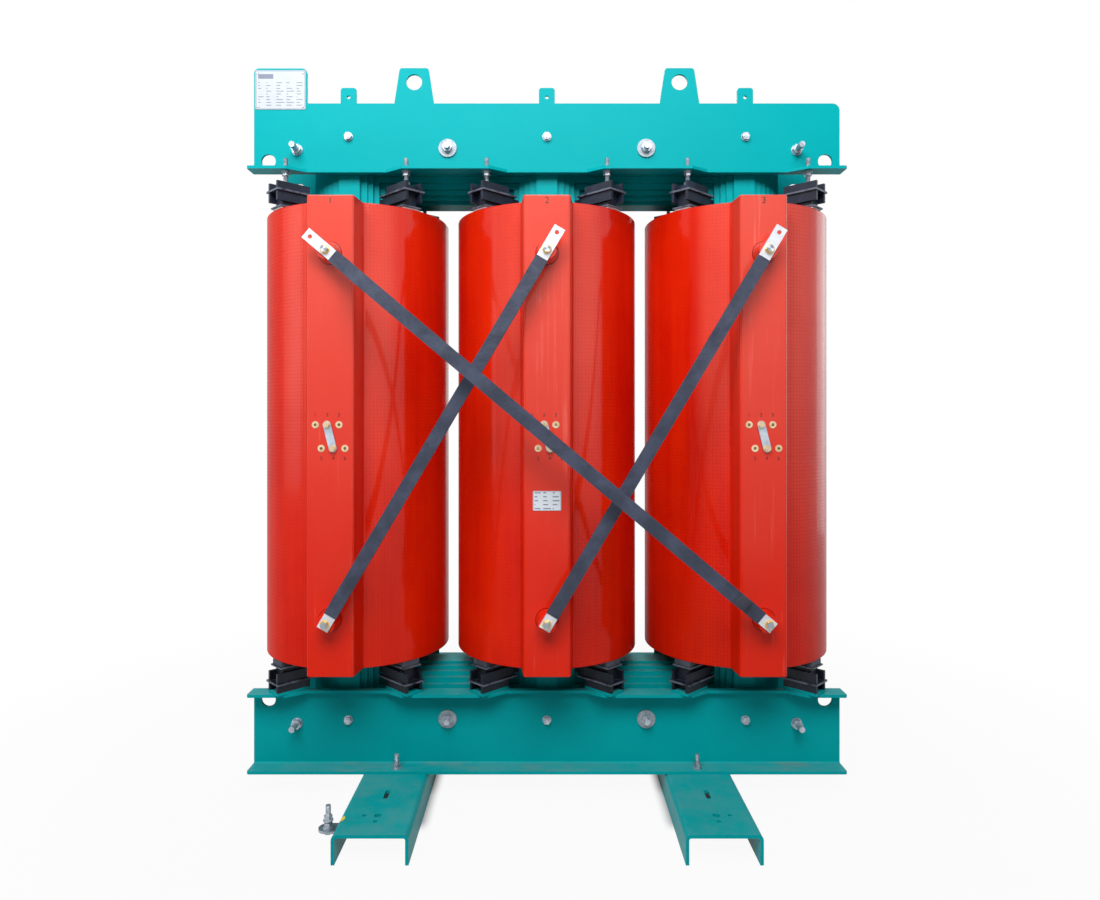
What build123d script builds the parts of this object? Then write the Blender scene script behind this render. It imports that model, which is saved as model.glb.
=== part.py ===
from build123d import *
import math
import os

os.makedirs("parts", exist_ok=True)

# Dry type three phase transformer with cast resin coils.  Millimetres, +Z up.
# The frame sits on the floor under the middle limb; the high voltage side faces -Y.

# ---- core ----
core_radius = 127
packet_widths = (245, 230, 210, 185, 155, 125, 95, 60)
bottom_yoke_z = 205
coil_to_yoke = 52.5
core_bolt_bore = 20

# ---- limb tie plates and yoke insulation ----
tie_plate_width = 58
tie_plate_thickness = 6
tie_plate_bottom = 165
tie_plate_above_yoke = 70
tie_stud_diameter = 12
tie_stud_above_yoke = 38
tie_stud_z_bottom = 197
insulation_height = 60
insulation_end_gap = 1

# ---- folded clamps ----
clamp_beyond_axis = 262
clamp_thickness = 8
clamp_bend_inside = 4
flange_reach = 193
top_clamp_below_yoke = 67
top_clamp_height = 198
bottom_clamp_bottom = 70
bottom_clamp_top = 285
web_corner_radius = 20
flange_corner_cut = 4
cutaway_reach = 159
cutaway_half_narrow = 109
cutaway_half_wide = 157
end_hole_diameter = 40
end_hole_inset = 40
end_hole_below_yoke = 30
end_hole_z_bottom = 253
ear_x = 368
ear_height = 98
ear_top_width = 80
ear_base_width = 110
ear_corner_radius = 9
ear_hole_diameter = 44
ear_hole_below_top = 39
tab_width = 44
tab_height = 43
tab_corner_radius = 8
tab_hole_diameter = 10
tab_hole_below_top = 26
bracket_width = 147
bracket_height = 97
bracket_corner_radius = 14

# ---- yoke bolts, end rods and their holes ----
yoke_bolt_diameter = 16
yoke_bolt_above_yoke = 6
yoke_bolt_z_bottom = 200
yoke_bolt_stick_out = 30
yoke_washer_diameter = 50
yoke_washer_thickness = 5
rod_nut_flats = 24
rod_nut_height = 13
rod_washer_diameter = 30
rod_washer_thickness = 3
end_rod_beyond_limb = 19.5
end_rod_diameter = 16
end_rod_above_yoke = 1
end_rod_z_bottom = 188
end_rod_stick_out = 50
bolt_clearance = 1
stud_nut_flats = 18
stud_nut_height = 10
thin_nut_height = 6
stud_head_height = 8
stud_washer_diameter = 24
stud_washer_thickness = 2.5
tie_stud_stick_out = 12

# ---- runners ----
runner_x = 410
runner_width = 180
runner_height = 70
runner_thickness = 8
runner_bend_inside = 5
runner_half_length = 500
runner_bolt_y = 172
runner_bolt_diameter = 12
runner_bolt_stand = 38
wheel_hole_y = 410
wheel_hole_diameter = 18
pin_hole_offset = 33
pin_hole_y = 438
pin_hole_diameter = 11
runner_slot_y = 304
runner_slot_length = 45
runner_slot_width = 12

# ---- earth terminal ----
earth_tab_y = 440
earth_tab_width = 40
earth_tab_reach = 45
earth_tab_thickness = 6
earth_tab_top = 57
earth_bolt_x_offset = 22
earth_bolt_diameter = 12
earth_bolt_top = 110
earth_lug_space = 16

# ---- coils ----
coil_height = 1225
coil_gap = 32
hv_outer_radius = 259
hv_inner_radius = 200
hv_edge_radius = 3
ridge_height = 63
ridge_half_width = 60
ridge_root_half_width = 68
ridge_edge_radius = 8
ridge_root_radius = 9
lv_outer_radius = 178
lv_inner_radius = 143
lv_edge_radius = 3

# ---- high voltage terminals and tappings ----
terminal_below_top = 149
terminal_above_bottom = 146
boss_base_radius = 28.5
boss_tip_radius = 23
boss_length = 43
terminal_insert_diameter = 22
terminal_insert_length = 25
terminal_bolt_diameter = 10
terminal_bolt_grip = 20
terminal_head_flats = 17
terminal_head_height = 9
terminal_washer_diameter = 24
terminal_washer_thickness = 2
tap_middle_above_bottom = 611
tap_row_gap = 60
tap_spacing = 30
tap_row_shift = 15
tap_insert_diameter = 18
tap_insert_bore = 7.3
tap_insert_length = 20
tap_insert_proud = 1
tap_link_width = 20
tap_link_thickness = 4
tap_bolt_diameter = 7.2
tap_bolt_grip = 12
tap_head_flats = 13
tap_head_height = 5.4
tap_washer_diameter = 17
tap_washer_thickness = 1.6
label_width = 72
label_height = 50
label_above_bottom = 448
label_thickness = 0.8

# ---- delta bars ----
bar_width = 30
bar_thickness = 6
bar_end_beyond = 63
bar_cable_hole_at = 48
bar_cable_hole = 11
bar_tail_beyond = 14
bar_bend_at = 66
bar_joggle = 60
bar_bend_radius = 12
sleeve_wall = 1.5
long_sleeve_wall = 2
sleeve_start = 25
sleeve_end = 25

# ---- coil supports ----
block_inner = 150
block_rail_inner = 175
block_rail_outer = 270
block_plate_outer = 273
block_plate_width = 66
block_plate_thickness = 5
block_rail_width = 53
block_rail_wall = 8
block_far_rail_height = 21
block_near_rail_height = 26
block_riser_inner = 130
block_riser_outer = 252
block_riser_width = 36
block_riser_height = 38
block_cap_width = 58
block_cap_outer = 262
block_cap_thickness = 4
block_seat_height = 17
block_seat_length = 34
pad_inner = 142
pad_outer = 258
pad_width = 50
top_pad_thickness = 4
bottom_pad_thickness = 14
foot_spacer_thickness = 8
pressure_stud_offset = 165
pressure_stud_diameter = 12
pressure_stud_stand = 28

# ---- low voltage leads ----
lv_bar_width = 80
lv_bar_thickness = 10
insulator_length = 30.6
lv_bar_above_yoke = 225
lv_pad_hole_below_top = 14
lv_pad_hole_spacing = 40
lv_pad_hole_diameter = 14
insulator_diameter = 38
insulator_waist_diameter = 30
insulator_flange = 9
lead_offset = 76
lead_width = 36
lead_thickness = 6
lead_foot_y = 153
lead_top_y = 192
neutral_bar_above_yoke = 75
neutral_bar_height = 40
neutral_bar_thickness = 8
neutral_bar_end = 70
neutral_terminal_inset = 22
neutral_terminal_hole = 14
small_bolt_diameter = 10
small_nut_flats = 16
small_nut_height = 8
small_head_height = 7
small_washer_diameter = 20
small_washer_thickness = 2
small_bolt_grip = 11
tab_bolt_slack = 0.2

# ---- plates ----
rating_width = 140
rating_height = 109
rating_thickness = 1.5
rating_below_bracket_top = 60
rivet_inset = 8
rivet_diameter = 7

# ---- sizes that follow ----
phase_pitch = 2 * hv_outer_radius + coil_gap
clamp_half_length = phase_pitch + clamp_beyond_axis
end_hole_x = clamp_half_length - end_hole_inset
end_rod_x = phase_pitch + packet_widths[0] / 2 + end_rod_beyond_limb
yoke_bolt_x = phase_pitch / 2
bar_drill_depth = 5 * bar_thickness
block_height = block_far_rail_height + block_plate_thickness + block_riser_height + block_cap_thickness
block_foot_z = bottom_clamp_top + foot_spacer_thickness
pad_bottom_z = block_foot_z + block_height
coil_bottom = pad_bottom_z + bottom_pad_thickness
coil_top = coil_bottom + coil_height
top_yoke_z = coil_top + coil_to_yoke + packet_widths[0] / 2
tie_plate_top = top_yoke_z + tie_plate_above_yoke
tie_stud_z_top = top_yoke_z + tie_stud_above_yoke
top_clamp_bottom = top_yoke_z - top_clamp_below_yoke
top_clamp_top = top_clamp_bottom + top_clamp_height
end_hole_z_top = top_yoke_z - end_hole_below_yoke
ear_top = top_clamp_top + ear_height
ear_hole_z = ear_top - ear_hole_below_top
tab_top = top_clamp_top + tab_height
tab_hole_z = tab_top - tab_hole_below_top
bracket_top = top_clamp_top + bracket_height
rating_z = bracket_top - rating_below_bracket_top
yoke_bolt_z_top = top_yoke_z + yoke_bolt_above_yoke
end_rod_z_top = top_yoke_z + end_rod_above_yoke
terminal_z_top = coil_top - terminal_below_top
terminal_z_bottom = coil_bottom + terminal_above_bottom
tap_upper_z = coil_bottom + tap_middle_above_bottom + tap_row_gap / 2
tap_lower_z = tap_upper_z - tap_row_gap
label_z = coil_bottom + label_above_bottom
ridge_front = hv_outer_radius + ridge_height
lv_bar_top = top_yoke_z + lv_bar_above_yoke
lv_pad_high = lv_bar_top - lv_pad_hole_below_top
lv_pad_holes_z = (lv_pad_high - lv_pad_hole_spacing, lv_pad_high)
neutral_bar_z = top_yoke_z + neutral_bar_above_yoke
pressure_stud_top = top_clamp_bottom + clamp_thickness + pressure_stud_stand
limb_x = (-phase_pitch, 0, phase_pitch)
packets = [(w, math.sqrt(core_radius**2 - (w / 2) ** 2)) for w in packet_widths]
tie_inner = packets[-1][1]
web_inner = tie_inner + tie_plate_thickness
web_outer = web_inner + clamp_thickness
bend_outside = clamp_bend_inside + clamp_thickness
runner_bend_outside = runner_bend_inside + runner_thickness
boss_tip = ridge_front + boss_length
lv_bar_y = web_outer + insulator_length
top_block_z = coil_top + top_pad_thickness + block_height
stud_foot_z = top_block_z - block_far_rail_height + block_seat_height
stud_radius_from_axis = pressure_stud_offset * math.sqrt(2)
bracket_x = -clamp_half_length + bracket_width / 2


def hand_in(builder, name):
    """Label one finished piece and write its file."""
    builder.part.label = name
    export_step(builder.part, "parts/" + name + ".step")


def rear_of(front):
    """The same piece on the far side of the core."""
    with BuildPart() as rear:
        add(front.part)
        mirror(about=Plane.XZ, mode=Mode.REPLACE)
    return rear


def drill(plane, points, diameter, depth):
    """Bore round holes through whatever is being built, both ways from the plane."""
    with BuildSketch(plane) as holes:
        with Locations(*points):
            Circle(diameter / 2)
    extrude(holes.sketch, amount=depth, both=True, mode=Mode.SUBTRACT)


def outline(points):
    """Fill a closed outline in the sketch that is open."""
    Polygon(*points, align=None)


def hex_prism(plane, across_flats, height):
    """A nut or bolt head standing on the plane."""
    with BuildSketch(plane) as head:
        RegularPolygon(across_flats / 2, 6, major_radius=False)
    extrude(head.sketch, amount=height)


def disc(plane, diameter, height):
    """A washer or a length of round bar standing on the plane."""
    with BuildSketch(plane) as round_face:
        Circle(diameter / 2)
    extrude(round_face.sketch, amount=height)


# ---- stepped core with mitred corners and a notched middle joint ----
def outer_limb(x):
    """One outer limb: every packet runs out to its own mitre at both yokes."""
    out = math.copysign(1, x)
    with BuildPart() as limb:
        for width, reach in packets:
            half = width / 2
            with BuildSketch(Plane.XZ):
                outline(
                    [
                        (x + out * half, top_yoke_z + half),
                        (x - out * half, top_yoke_z - half),
                        (x - out * half, bottom_yoke_z + half),
                        (x + out * half, bottom_yoke_z - half),
                    ]
                )
            extrude(amount=reach, both=True)
    return limb


def middle_limb():
    """The middle limb ends in a point at the centre line of each yoke."""
    with BuildPart() as limb:
        for width, reach in packets:
            half = width / 2
            with BuildSketch(Plane.XZ):
                outline(
                    [
                        (-half, top_yoke_z - half),
                        (0, top_yoke_z),
                        (half, top_yoke_z - half),
                        (half, bottom_yoke_z + half),
                        (0, bottom_yoke_z),
                        (-half, bottom_yoke_z + half),
                    ]
                )
            extrude(amount=reach, both=True)
    return limb


def yoke(z, inward, bolt_z):
    """A yoke, mitred at both ends and notched for the middle limb."""
    with BuildPart() as beam:
        for width, reach in packets:
            half = width / 2
            inner = z + inward * half
            outer = z - inward * half
            with BuildSketch(Plane.XZ):
                outline(
                    [
                        (-phase_pitch - half, outer),
                        (phase_pitch + half, outer),
                        (phase_pitch - half, inner),
                        (half, inner),
                        (0, z),
                        (-half, inner),
                        (-phase_pitch + half, inner),
                    ]
                )
            extrude(amount=reach, both=True)
        drill(Plane.XZ, [(-yoke_bolt_x, bolt_z), (yoke_bolt_x, bolt_z)], core_bolt_bore, core_radius)
    return beam


hand_in(outer_limb(-phase_pitch), "core_limb_left")
hand_in(middle_limb(), "core_limb_middle")
hand_in(outer_limb(phase_pitch), "core_limb_right")
hand_in(yoke(top_yoke_z, -1, yoke_bolt_z_top), "core_yoke_top")
hand_in(yoke(bottom_yoke_z, 1, yoke_bolt_z_bottom), "core_yoke_bottom")

# ---- flat tie plates up each limb ----
with BuildPart() as tie_front:
    with BuildSketch(Plane.XZ.offset(tie_inner)):
        with Locations(*[(x, (tie_plate_bottom + tie_plate_top) / 2) for x in limb_x]):
            Rectangle(tie_plate_width, tie_plate_top - tie_plate_bottom)
        with Locations(*[(x, z) for x in limb_x for z in (tie_stud_z_top, tie_stud_z_bottom)]):
            Circle(tie_stud_diameter / 2, mode=Mode.SUBTRACT)
    extrude(amount=tie_plate_thickness)
hand_in(tie_front, "tie_plates_front")
hand_in(rear_of(tie_front), "tie_plates_rear")


def yoke_insulation(z, bolt_z):
    """Pressboard strips between yoke and clamps, from tie plate to tie plate."""
    length = phase_pitch - tie_plate_width - 2 * insulation_end_gap
    with BuildPart() as strips:
        for side in (1, -1):
            with BuildSketch(Plane.XZ.offset(side * tie_inner)):
                with Locations((-phase_pitch / 2, z), (phase_pitch / 2, z)):
                    Rectangle(length, insulation_height)
                with Locations((-yoke_bolt_x, bolt_z), (yoke_bolt_x, bolt_z)):
                    Circle((yoke_bolt_diameter + bolt_clearance) / 2, mode=Mode.SUBTRACT)
            extrude(amount=side * tie_plate_thickness)
    return strips


hand_in(yoke_insulation(top_yoke_z, yoke_bolt_z_top), "yoke_insulation_top")
hand_in(yoke_insulation(bottom_yoke_z, yoke_bolt_z_bottom), "yoke_insulation_bottom")


# ---- folded clamps ----
def soften_bend(part, y, z, radius):
    """Round the long edge that runs through one corner of the folded section."""
    edge = part.edges().filter_by(Axis.X).sort_by_distance((0, y, z))[0]
    fillet(edge, radius)


def flange_cutaways(z):
    """Cut the flange back in front of every limb, with sloping ends."""
    with BuildSketch(Plane.XY.offset(z - clamp_thickness)) as cut:
        for x in limb_x:
            outline(
                [
                    (x - cutaway_half_wide, -flange_reach - 10),
                    (x - cutaway_half_wide, -flange_reach),
                    (x - cutaway_half_narrow, -cutaway_reach),
                    (x + cutaway_half_narrow, -cutaway_reach),
                    (x + cutaway_half_wide, -flange_reach),
                    (x + cutaway_half_wide, -flange_reach - 10),
                ]
            )
    extrude(cut.sketch, amount=3 * clamp_thickness, mode=Mode.SUBTRACT)


def clip_flange_corners(part, z):
    """Cut the two free corners off a flange."""
    upright = part.edges().filter_by(Axis.Z)
    ends = [upright.sort_by_distance((x, -flange_reach, z))[0] for x in (-clamp_half_length, clamp_half_length)]
    chamfer(ends, flange_corner_cut)


def web_holes(bolt_z, rod_z, stud_z, end_z):
    """Holes through the upright web for bolts, rods, studs and handling."""
    web = Plane.XZ.offset(web_inner)
    drill(web, [(x, bolt_z) for x in (-yoke_bolt_x, yoke_bolt_x)], yoke_bolt_diameter + bolt_clearance, 20)
    drill(web, [(x, rod_z) for x in (-end_rod_x, end_rod_x)], end_rod_diameter + bolt_clearance, 20)
    drill(web, [(x, stud_z) for x in limb_x], tie_stud_diameter + bolt_clearance, 20)
    drill(web, [(x, end_z) for x in (-end_hole_x, end_hole_x)], end_hole_diameter, 20)


def upstand(points_list, radius):
    """Plates that rise above the web in its own thickness, with rounded top corners."""
    with BuildSketch(Plane.XZ.offset(web_inner)) as plate:
        for points in points_list:
            outline(points)
        fillet(plate.vertices().group_by(Axis.Y)[-1], radius)
    extrude(plate.sketch, amount=clamp_thickness)


def top_clamp(has_bracket):
    """Upper clamp: an angle with its flange at the bottom, lifting ears and small tabs."""
    low = top_clamp_bottom
    high = top_clamp_top
    with BuildPart() as clamp:
        with BuildSketch(Plane.YZ):
            outline(
                [
                    (-web_inner, high),
                    (-web_outer, high),
                    (-web_outer, low + clamp_thickness),
                    (-flange_reach, low + clamp_thickness),
                    (-flange_reach, low),
                    (-web_inner, low),
                ]
            )
        extrude(amount=clamp_half_length, both=True)
        soften_bend(clamp, -web_inner, low, bend_outside)
        soften_bend(clamp, -web_outer, low + clamp_thickness, clamp_bend_inside)
        clip_flange_corners(clamp, low + clamp_thickness / 2)
        corner_ends = (clamp_half_length,) if has_bracket else (-clamp_half_length, clamp_half_length)
        for x in corner_ends:
            corner = clamp.edges().filter_by(Axis.Y).sort_by_distance((x, -web_outer, high))[0]
            fillet(corner, web_corner_radius)
        flange_cutaways(low)
        upstand(
            [
                [
                    (x - ear_base_width / 2, high - 5),
                    (x - ear_base_width / 2, high),
                    (x - ear_top_width / 2, ear_top),
                    (x + ear_top_width / 2, ear_top),
                    (x + ear_base_width / 2, high),
                    (x + ear_base_width / 2, high - 5),
                ]
                for x in (-ear_x, ear_x)
            ],
            ear_corner_radius,
        )
        upstand(
            [
                [
                    (x - tab_width / 2, high - 5),
                    (x - tab_width / 2, tab_top),
                    (x + tab_width / 2, tab_top),
                    (x + tab_width / 2, high - 5),
                ]
                for x in limb_x
            ],
            tab_corner_radius,
        )
        if has_bracket:
            upstand(
                [
                    [
                        (-clamp_half_length, high - 5),
                        (-clamp_half_length, bracket_top),
                        (-clamp_half_length + bracket_width, bracket_top),
                        (-clamp_half_length + bracket_width, high - 5),
                    ]
                ],
                bracket_corner_radius,
            )
        web_holes(yoke_bolt_z_top, end_rod_z_top, tie_stud_z_top, end_hole_z_top)
        web = Plane.XZ.offset(web_inner)
        drill(web, [(x, ear_hole_z) for x in (-ear_x, ear_x)], ear_hole_diameter, 20)
        drill(web, [(x, tab_hole_z) for x in limb_x], tab_hole_diameter, 20)
        studs = [(x + side * pressure_stud_offset, -pressure_stud_offset) for x in limb_x for side in (-1, 1)]
        drill(Plane.XY.offset(low), studs, pressure_stud_diameter + bolt_clearance, 20)
    return clamp


def bottom_clamp():
    """Lower clamp: a channel, its upper flange cut back under the coils."""
    low = bottom_clamp_bottom
    high = bottom_clamp_top
    with BuildPart() as clamp:
        with BuildSketch(Plane.YZ):
            outline(
                [
                    (-web_inner, high),
                    (-flange_reach, high),
                    (-flange_reach, high - clamp_thickness),
                    (-web_outer, high - clamp_thickness),
                    (-web_outer, low + clamp_thickness),
                    (-flange_reach, low + clamp_thickness),
                    (-flange_reach, low),
                    (-web_inner, low),
                ]
            )
        extrude(amount=clamp_half_length, both=True)
        for z, turn in ((high, -1), (low, 1)):
            soften_bend(clamp, -web_inner, z, bend_outside)
            soften_bend(clamp, -web_outer, z + turn * clamp_thickness, clamp_bend_inside)
            clip_flange_corners(clamp, z + turn * clamp_thickness / 2)
        flange_cutaways(high - clamp_thickness)
        web_holes(yoke_bolt_z_bottom, end_rod_z_bottom, tie_stud_z_bottom, end_hole_z_bottom)
        bolts = [(x, -runner_bolt_y) for x in (-runner_x, runner_x)]
        drill(Plane.XY.offset(low), bolts, runner_bolt_diameter + bolt_clearance, 20)
    return clamp


clamp_foot = bottom_clamp()
hand_in(top_clamp(True), "clamp_top_front")
hand_in(rear_of(top_clamp(False)), "clamp_top_rear")
hand_in(clamp_foot, "clamp_bottom_front")
hand_in(rear_of(clamp_foot), "clamp_bottom_rear")


# ---- fasteners, each made once along +Z and then set in place ----
def facing(side):
    """Turn that points +Z out of the front (1) or the rear (-1)."""
    return (90 * side, 0, 0)


def through_rod(diameter, stick_out, washer_diameter, washer_height, inner_too):
    """Rod across both clamps; its nuts and washers close on the webs."""
    with BuildPart() as rod:
        disc(Plane.XY.offset(-web_outer - stick_out), diameter, 2 * (web_outer + stick_out))
        for side in (1, -1):
            face = web_outer if washer_height else web_outer + yoke_washer_thickness
            if washer_height:
                disc(Plane.XY.offset(side * face), washer_diameter, side * washer_height)
            hex_prism(Plane.XY.offset(side * (face + washer_height)), rod_nut_flats, side * rod_nut_height)
            if inner_too:
                disc(Plane.XY.offset(side * web_inner), washer_diameter, -side * washer_height)
                hex_prism(Plane.XY.offset(side * (web_inner - washer_height)), rod_nut_flats, -side * rod_nut_height)
    return rod


yoke_bolt = through_rod(yoke_bolt_diameter, yoke_bolt_stick_out, 0, 0, False)
end_rod = through_rod(end_rod_diameter, end_rod_stick_out, rod_washer_diameter, rod_washer_thickness, True)


def set_across(piece, xs, z):
    """Place a through rod at each x on one level."""
    with BuildPart() as group:
        with Locations(*[Location((x, 0, z), (90, 0, 0)) for x in xs]):
            add(piece.part)
    return group


hand_in(set_across(yoke_bolt, (-yoke_bolt_x, yoke_bolt_x), yoke_bolt_z_top), "yoke_bolts_top")
hand_in(set_across(yoke_bolt, (-yoke_bolt_x, yoke_bolt_x), yoke_bolt_z_bottom), "yoke_bolts_bottom")
hand_in(set_across(end_rod, (-end_rod_x, end_rod_x), end_rod_z_top), "end_tie_rods_top")
hand_in(set_across(end_rod, (-end_rod_x, end_rod_x), end_rod_z_bottom), "end_tie_rods_bottom")

with BuildPart() as yoke_washers:
    for side in (1, -1):
        with BuildSketch(Plane.XZ.offset(side * web_outer)):
            with Locations(*[(x, z) for x in (-yoke_bolt_x, yoke_bolt_x) for z in (yoke_bolt_z_top, yoke_bolt_z_bottom)]):
                Circle(yoke_washer_diameter / 2)
                Circle(yoke_bolt_diameter / 2, mode=Mode.SUBTRACT)
        extrude(amount=side * yoke_washer_thickness)
hand_in(yoke_washers, "yoke_bolt_washers")

with BuildPart() as tie_stud:
    tie_nut_face = web_outer + stud_washer_thickness
    disc(Plane.XY.offset(tie_inner), tie_stud_diameter, tie_nut_face + tie_stud_stick_out - tie_inner)
    disc(Plane.XY.offset(web_outer), stud_washer_diameter, stud_washer_thickness)
    hex_prism(Plane.XY.offset(tie_nut_face), stud_nut_flats, stud_nut_height)


def tie_studs(z):
    """A stud at each limb, front and rear, that pulls the clamp onto its tie plate."""
    with BuildPart() as group:
        with Locations(*[Location((x, 0, z), facing(side)) for x in limb_x for side in (1, -1)]):
            add(tie_stud.part)
    return group


hand_in(tie_studs(tie_stud_z_top), "tie_plate_bolts_top")
hand_in(tie_studs(tie_stud_z_bottom), "tie_plate_bolts_bottom")


# ---- runners ----
def runner(x):
    """A channel on its edges, bored for wheel pins at both ends."""
    half = runner_width / 2
    wall = runner_thickness
    with BuildPart() as beam:
        with BuildSketch(Plane.XZ):
            outline(
                [
                    (x - half, 0),
                    (x - half, runner_height),
                    (x + half, runner_height),
                    (x + half, 0),
                    (x + half - wall, 0),
                    (x + half - wall, runner_height - wall),
                    (x - half + wall, runner_height - wall),
                    (x - half + wall, 0),
                ]
            )
        extrude(amount=runner_half_length, both=True)
        long_edges = beam.edges().filter_by(Axis.Y)
        outer = [long_edges.sort_by_distance((x + s * half, 0, runner_height))[0] for s in (-1, 1)]
        inner = [long_edges.sort_by_distance((x + s * (half - wall), 0, runner_height - wall))[0] for s in (-1, 1)]
        fillet(outer, runner_bend_outside)
        fillet(inner, runner_bend_inside)
        top = Plane.XY.offset(runner_height)
        outward = math.copysign(pin_hole_offset, x)
        drill(top, [(x, s * runner_bolt_y) for s in (-1, 1)], runner_bolt_diameter + bolt_clearance, 20)
        drill(top, [(x, s * wheel_hole_y) for s in (-1, 1)], wheel_hole_diameter, 20)
        drill(top, [(x + outward, s * wheel_hole_y) for s in (-1, 1)], pin_hole_diameter, 20)
        drill(top, [(x, s * pin_hole_y) for s in (-1, 1)], pin_hole_diameter, 20)
        with BuildSketch(top):
            with Locations((x, -runner_slot_y), (x, runner_slot_y)):
                SlotOverall(runner_slot_length, runner_slot_width, rotation=90)
        extrude(amount=-20, mode=Mode.SUBTRACT)
    return beam


hand_in(runner(-runner_x), "runner_left")
hand_in(runner(runner_x), "runner_right")

with BuildPart() as runner_bolt:
    under = runner_height - runner_thickness
    over = bottom_clamp_bottom + clamp_thickness
    head_top = under - stud_washer_thickness
    disc(Plane.XY.offset(head_top - stud_head_height), runner_bolt_diameter, over + runner_bolt_stand - head_top + stud_head_height)
    disc(Plane.XY.offset(head_top), stud_washer_diameter, stud_washer_thickness)
    hex_prism(Plane.XY.offset(head_top - stud_head_height), stud_nut_flats, stud_head_height)
    disc(Plane.XY.offset(over), stud_washer_diameter, stud_washer_thickness)
    hex_prism(Plane.XY.offset(over + stud_washer_thickness), stud_nut_flats, stud_nut_height)
with BuildPart() as runner_bolts:
    with Locations(*[(x, y) for x in (-runner_x, runner_x) for y in (-runner_bolt_y, runner_bolt_y)]):
        add(runner_bolt.part)
hand_in(runner_bolts, "runner_bolts")

# ---- earth terminal on the left runner ----
runner_side = -runner_x - runner_width / 2
earth_x = runner_side - earth_bolt_x_offset
with BuildPart() as earth_tab:
    with BuildSketch(Plane.XY.offset(earth_tab_top)):
        with Locations((runner_side - (earth_tab_reach - earth_tab_width / 2) / 2, -earth_tab_y)):
            Rectangle(earth_tab_reach - earth_tab_width / 2, earth_tab_width)
        with Locations((runner_side - earth_tab_reach + earth_tab_width / 2, -earth_tab_y)):
            Circle(earth_tab_width / 2)
        with Locations((earth_x, -earth_tab_y)):
            Circle((earth_bolt_diameter + bolt_clearance) / 2, mode=Mode.SUBTRACT)
    extrude(amount=-earth_tab_thickness)
hand_in(earth_tab, "earth_tab")

with BuildPart() as earth_stud:
    tab_under = earth_tab_top - earth_tab_thickness
    disc(Plane.XY.offset(tab_under - stud_head_height), earth_bolt_diameter, earth_bolt_top - tab_under + stud_head_height)
    hex_prism(Plane.XY.offset(tab_under - stud_head_height), stud_nut_flats, stud_head_height)
    for seat in (earth_tab_top, earth_tab_top + earth_lug_space):
        disc(Plane.XY.offset(seat), stud_washer_diameter, stud_washer_thickness)
        hex_prism(Plane.XY.offset(seat + stud_washer_thickness), stud_nut_flats, stud_nut_height)
with BuildPart() as earth_bolt:
    with Locations((earth_x, -earth_tab_y)):
        add(earth_stud.part)
hand_in(earth_bolt, "earth_bolt")


# ---- coils ----
def tap_points(x):
    """Inserts 1 3 5 on the upper row and 2 4 6 on the lower row."""
    upper = [(x - tap_row_shift / 2 + n * tap_spacing, tap_upper_z) for n in (-1, 0, 1)]
    lower = [(x + tap_row_shift / 2 + n * tap_spacing, tap_lower_z) for n in (-1, 0, 1)]
    return upper + lower


def hv_coil(x):
    """Cast high voltage coil with a flat terminal ridge down the front."""
    with BuildPart() as coil:
        with BuildSketch(Plane.XY.offset(coil_bottom)) as ring:
            with Locations((x, 0)):
                Circle(hv_outer_radius)
            outline(
                [
                    (x - ridge_half_width, -ridge_front),
                    (x + ridge_half_width, -ridge_front),
                    (x + ridge_root_half_width, -hv_outer_radius + 20),
                    (x - ridge_root_half_width, -hv_outer_radius + 20),
                ]
            )
            root_y = -math.sqrt(hv_outer_radius**2 - ridge_root_half_width**2)
            corners = ring.vertices()
            roots = [corners.sort_by_distance((x + s * ridge_root_half_width, root_y))[0] for s in (-1, 1)]
            fillet(roots, ridge_root_radius)
            corners = ring.vertices()
            fronts = [corners.sort_by_distance((x + s * ridge_half_width, -ridge_front))[0] for s in (-1, 1)]
            fillet(fronts, ridge_edge_radius)
        extrude(amount=coil_top - coil_bottom)
        rims = coil.edges().group_by(Axis.Z)
        fillet(rims[0] + rims[-1], hv_edge_radius)
        with BuildSketch(Plane.XY.offset(coil_bottom)):
            with Locations((x, 0)):
                Circle(hv_inner_radius)
        extrude(amount=coil_top - coil_bottom, mode=Mode.SUBTRACT)
        with BuildSketch(Plane.XZ.offset(ridge_front)):
            with Locations((x, terminal_z_top), (x, terminal_z_bottom)):
                Circle(boss_base_radius)
        extrude(amount=boss_length, taper=math.degrees(math.atan((boss_base_radius - boss_tip_radius) / boss_length)))
        with BuildSketch(Plane.XZ.offset(boss_tip - terminal_insert_length)):
            with Locations((x, terminal_z_top), (x, terminal_z_bottom)):
                Circle(terminal_insert_diameter / 2)
        extrude(amount=terminal_insert_length + 5, mode=Mode.SUBTRACT)
        with BuildSketch(Plane.XZ.offset(ridge_front + tap_insert_proud - tap_insert_length)):
            with Locations(*tap_points(x)):
                Circle(tap_insert_diameter / 2)
        extrude(amount=tap_insert_length + 5, mode=Mode.SUBTRACT)
    return coil


def lv_coil(x):
    """Foil wound low voltage coil inside the high voltage one."""
    with BuildPart() as coil:
        with BuildSketch(Plane.XY.offset(coil_bottom)):
            with Locations((x, 0)):
                Circle(lv_outer_radius)
                Circle(lv_inner_radius, mode=Mode.SUBTRACT)
        extrude(amount=coil_top - coil_bottom)
        rims = coil.edges().filter_by(GeomType.CIRCLE)
        fillet(rims, lv_edge_radius)
    return coil


for x, name in zip(limb_x, ("left", "middle", "right")):
    hand_in(hv_coil(x), "hv_coil_" + name)
    hand_in(lv_coil(x), "lv_coil_" + name)

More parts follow.
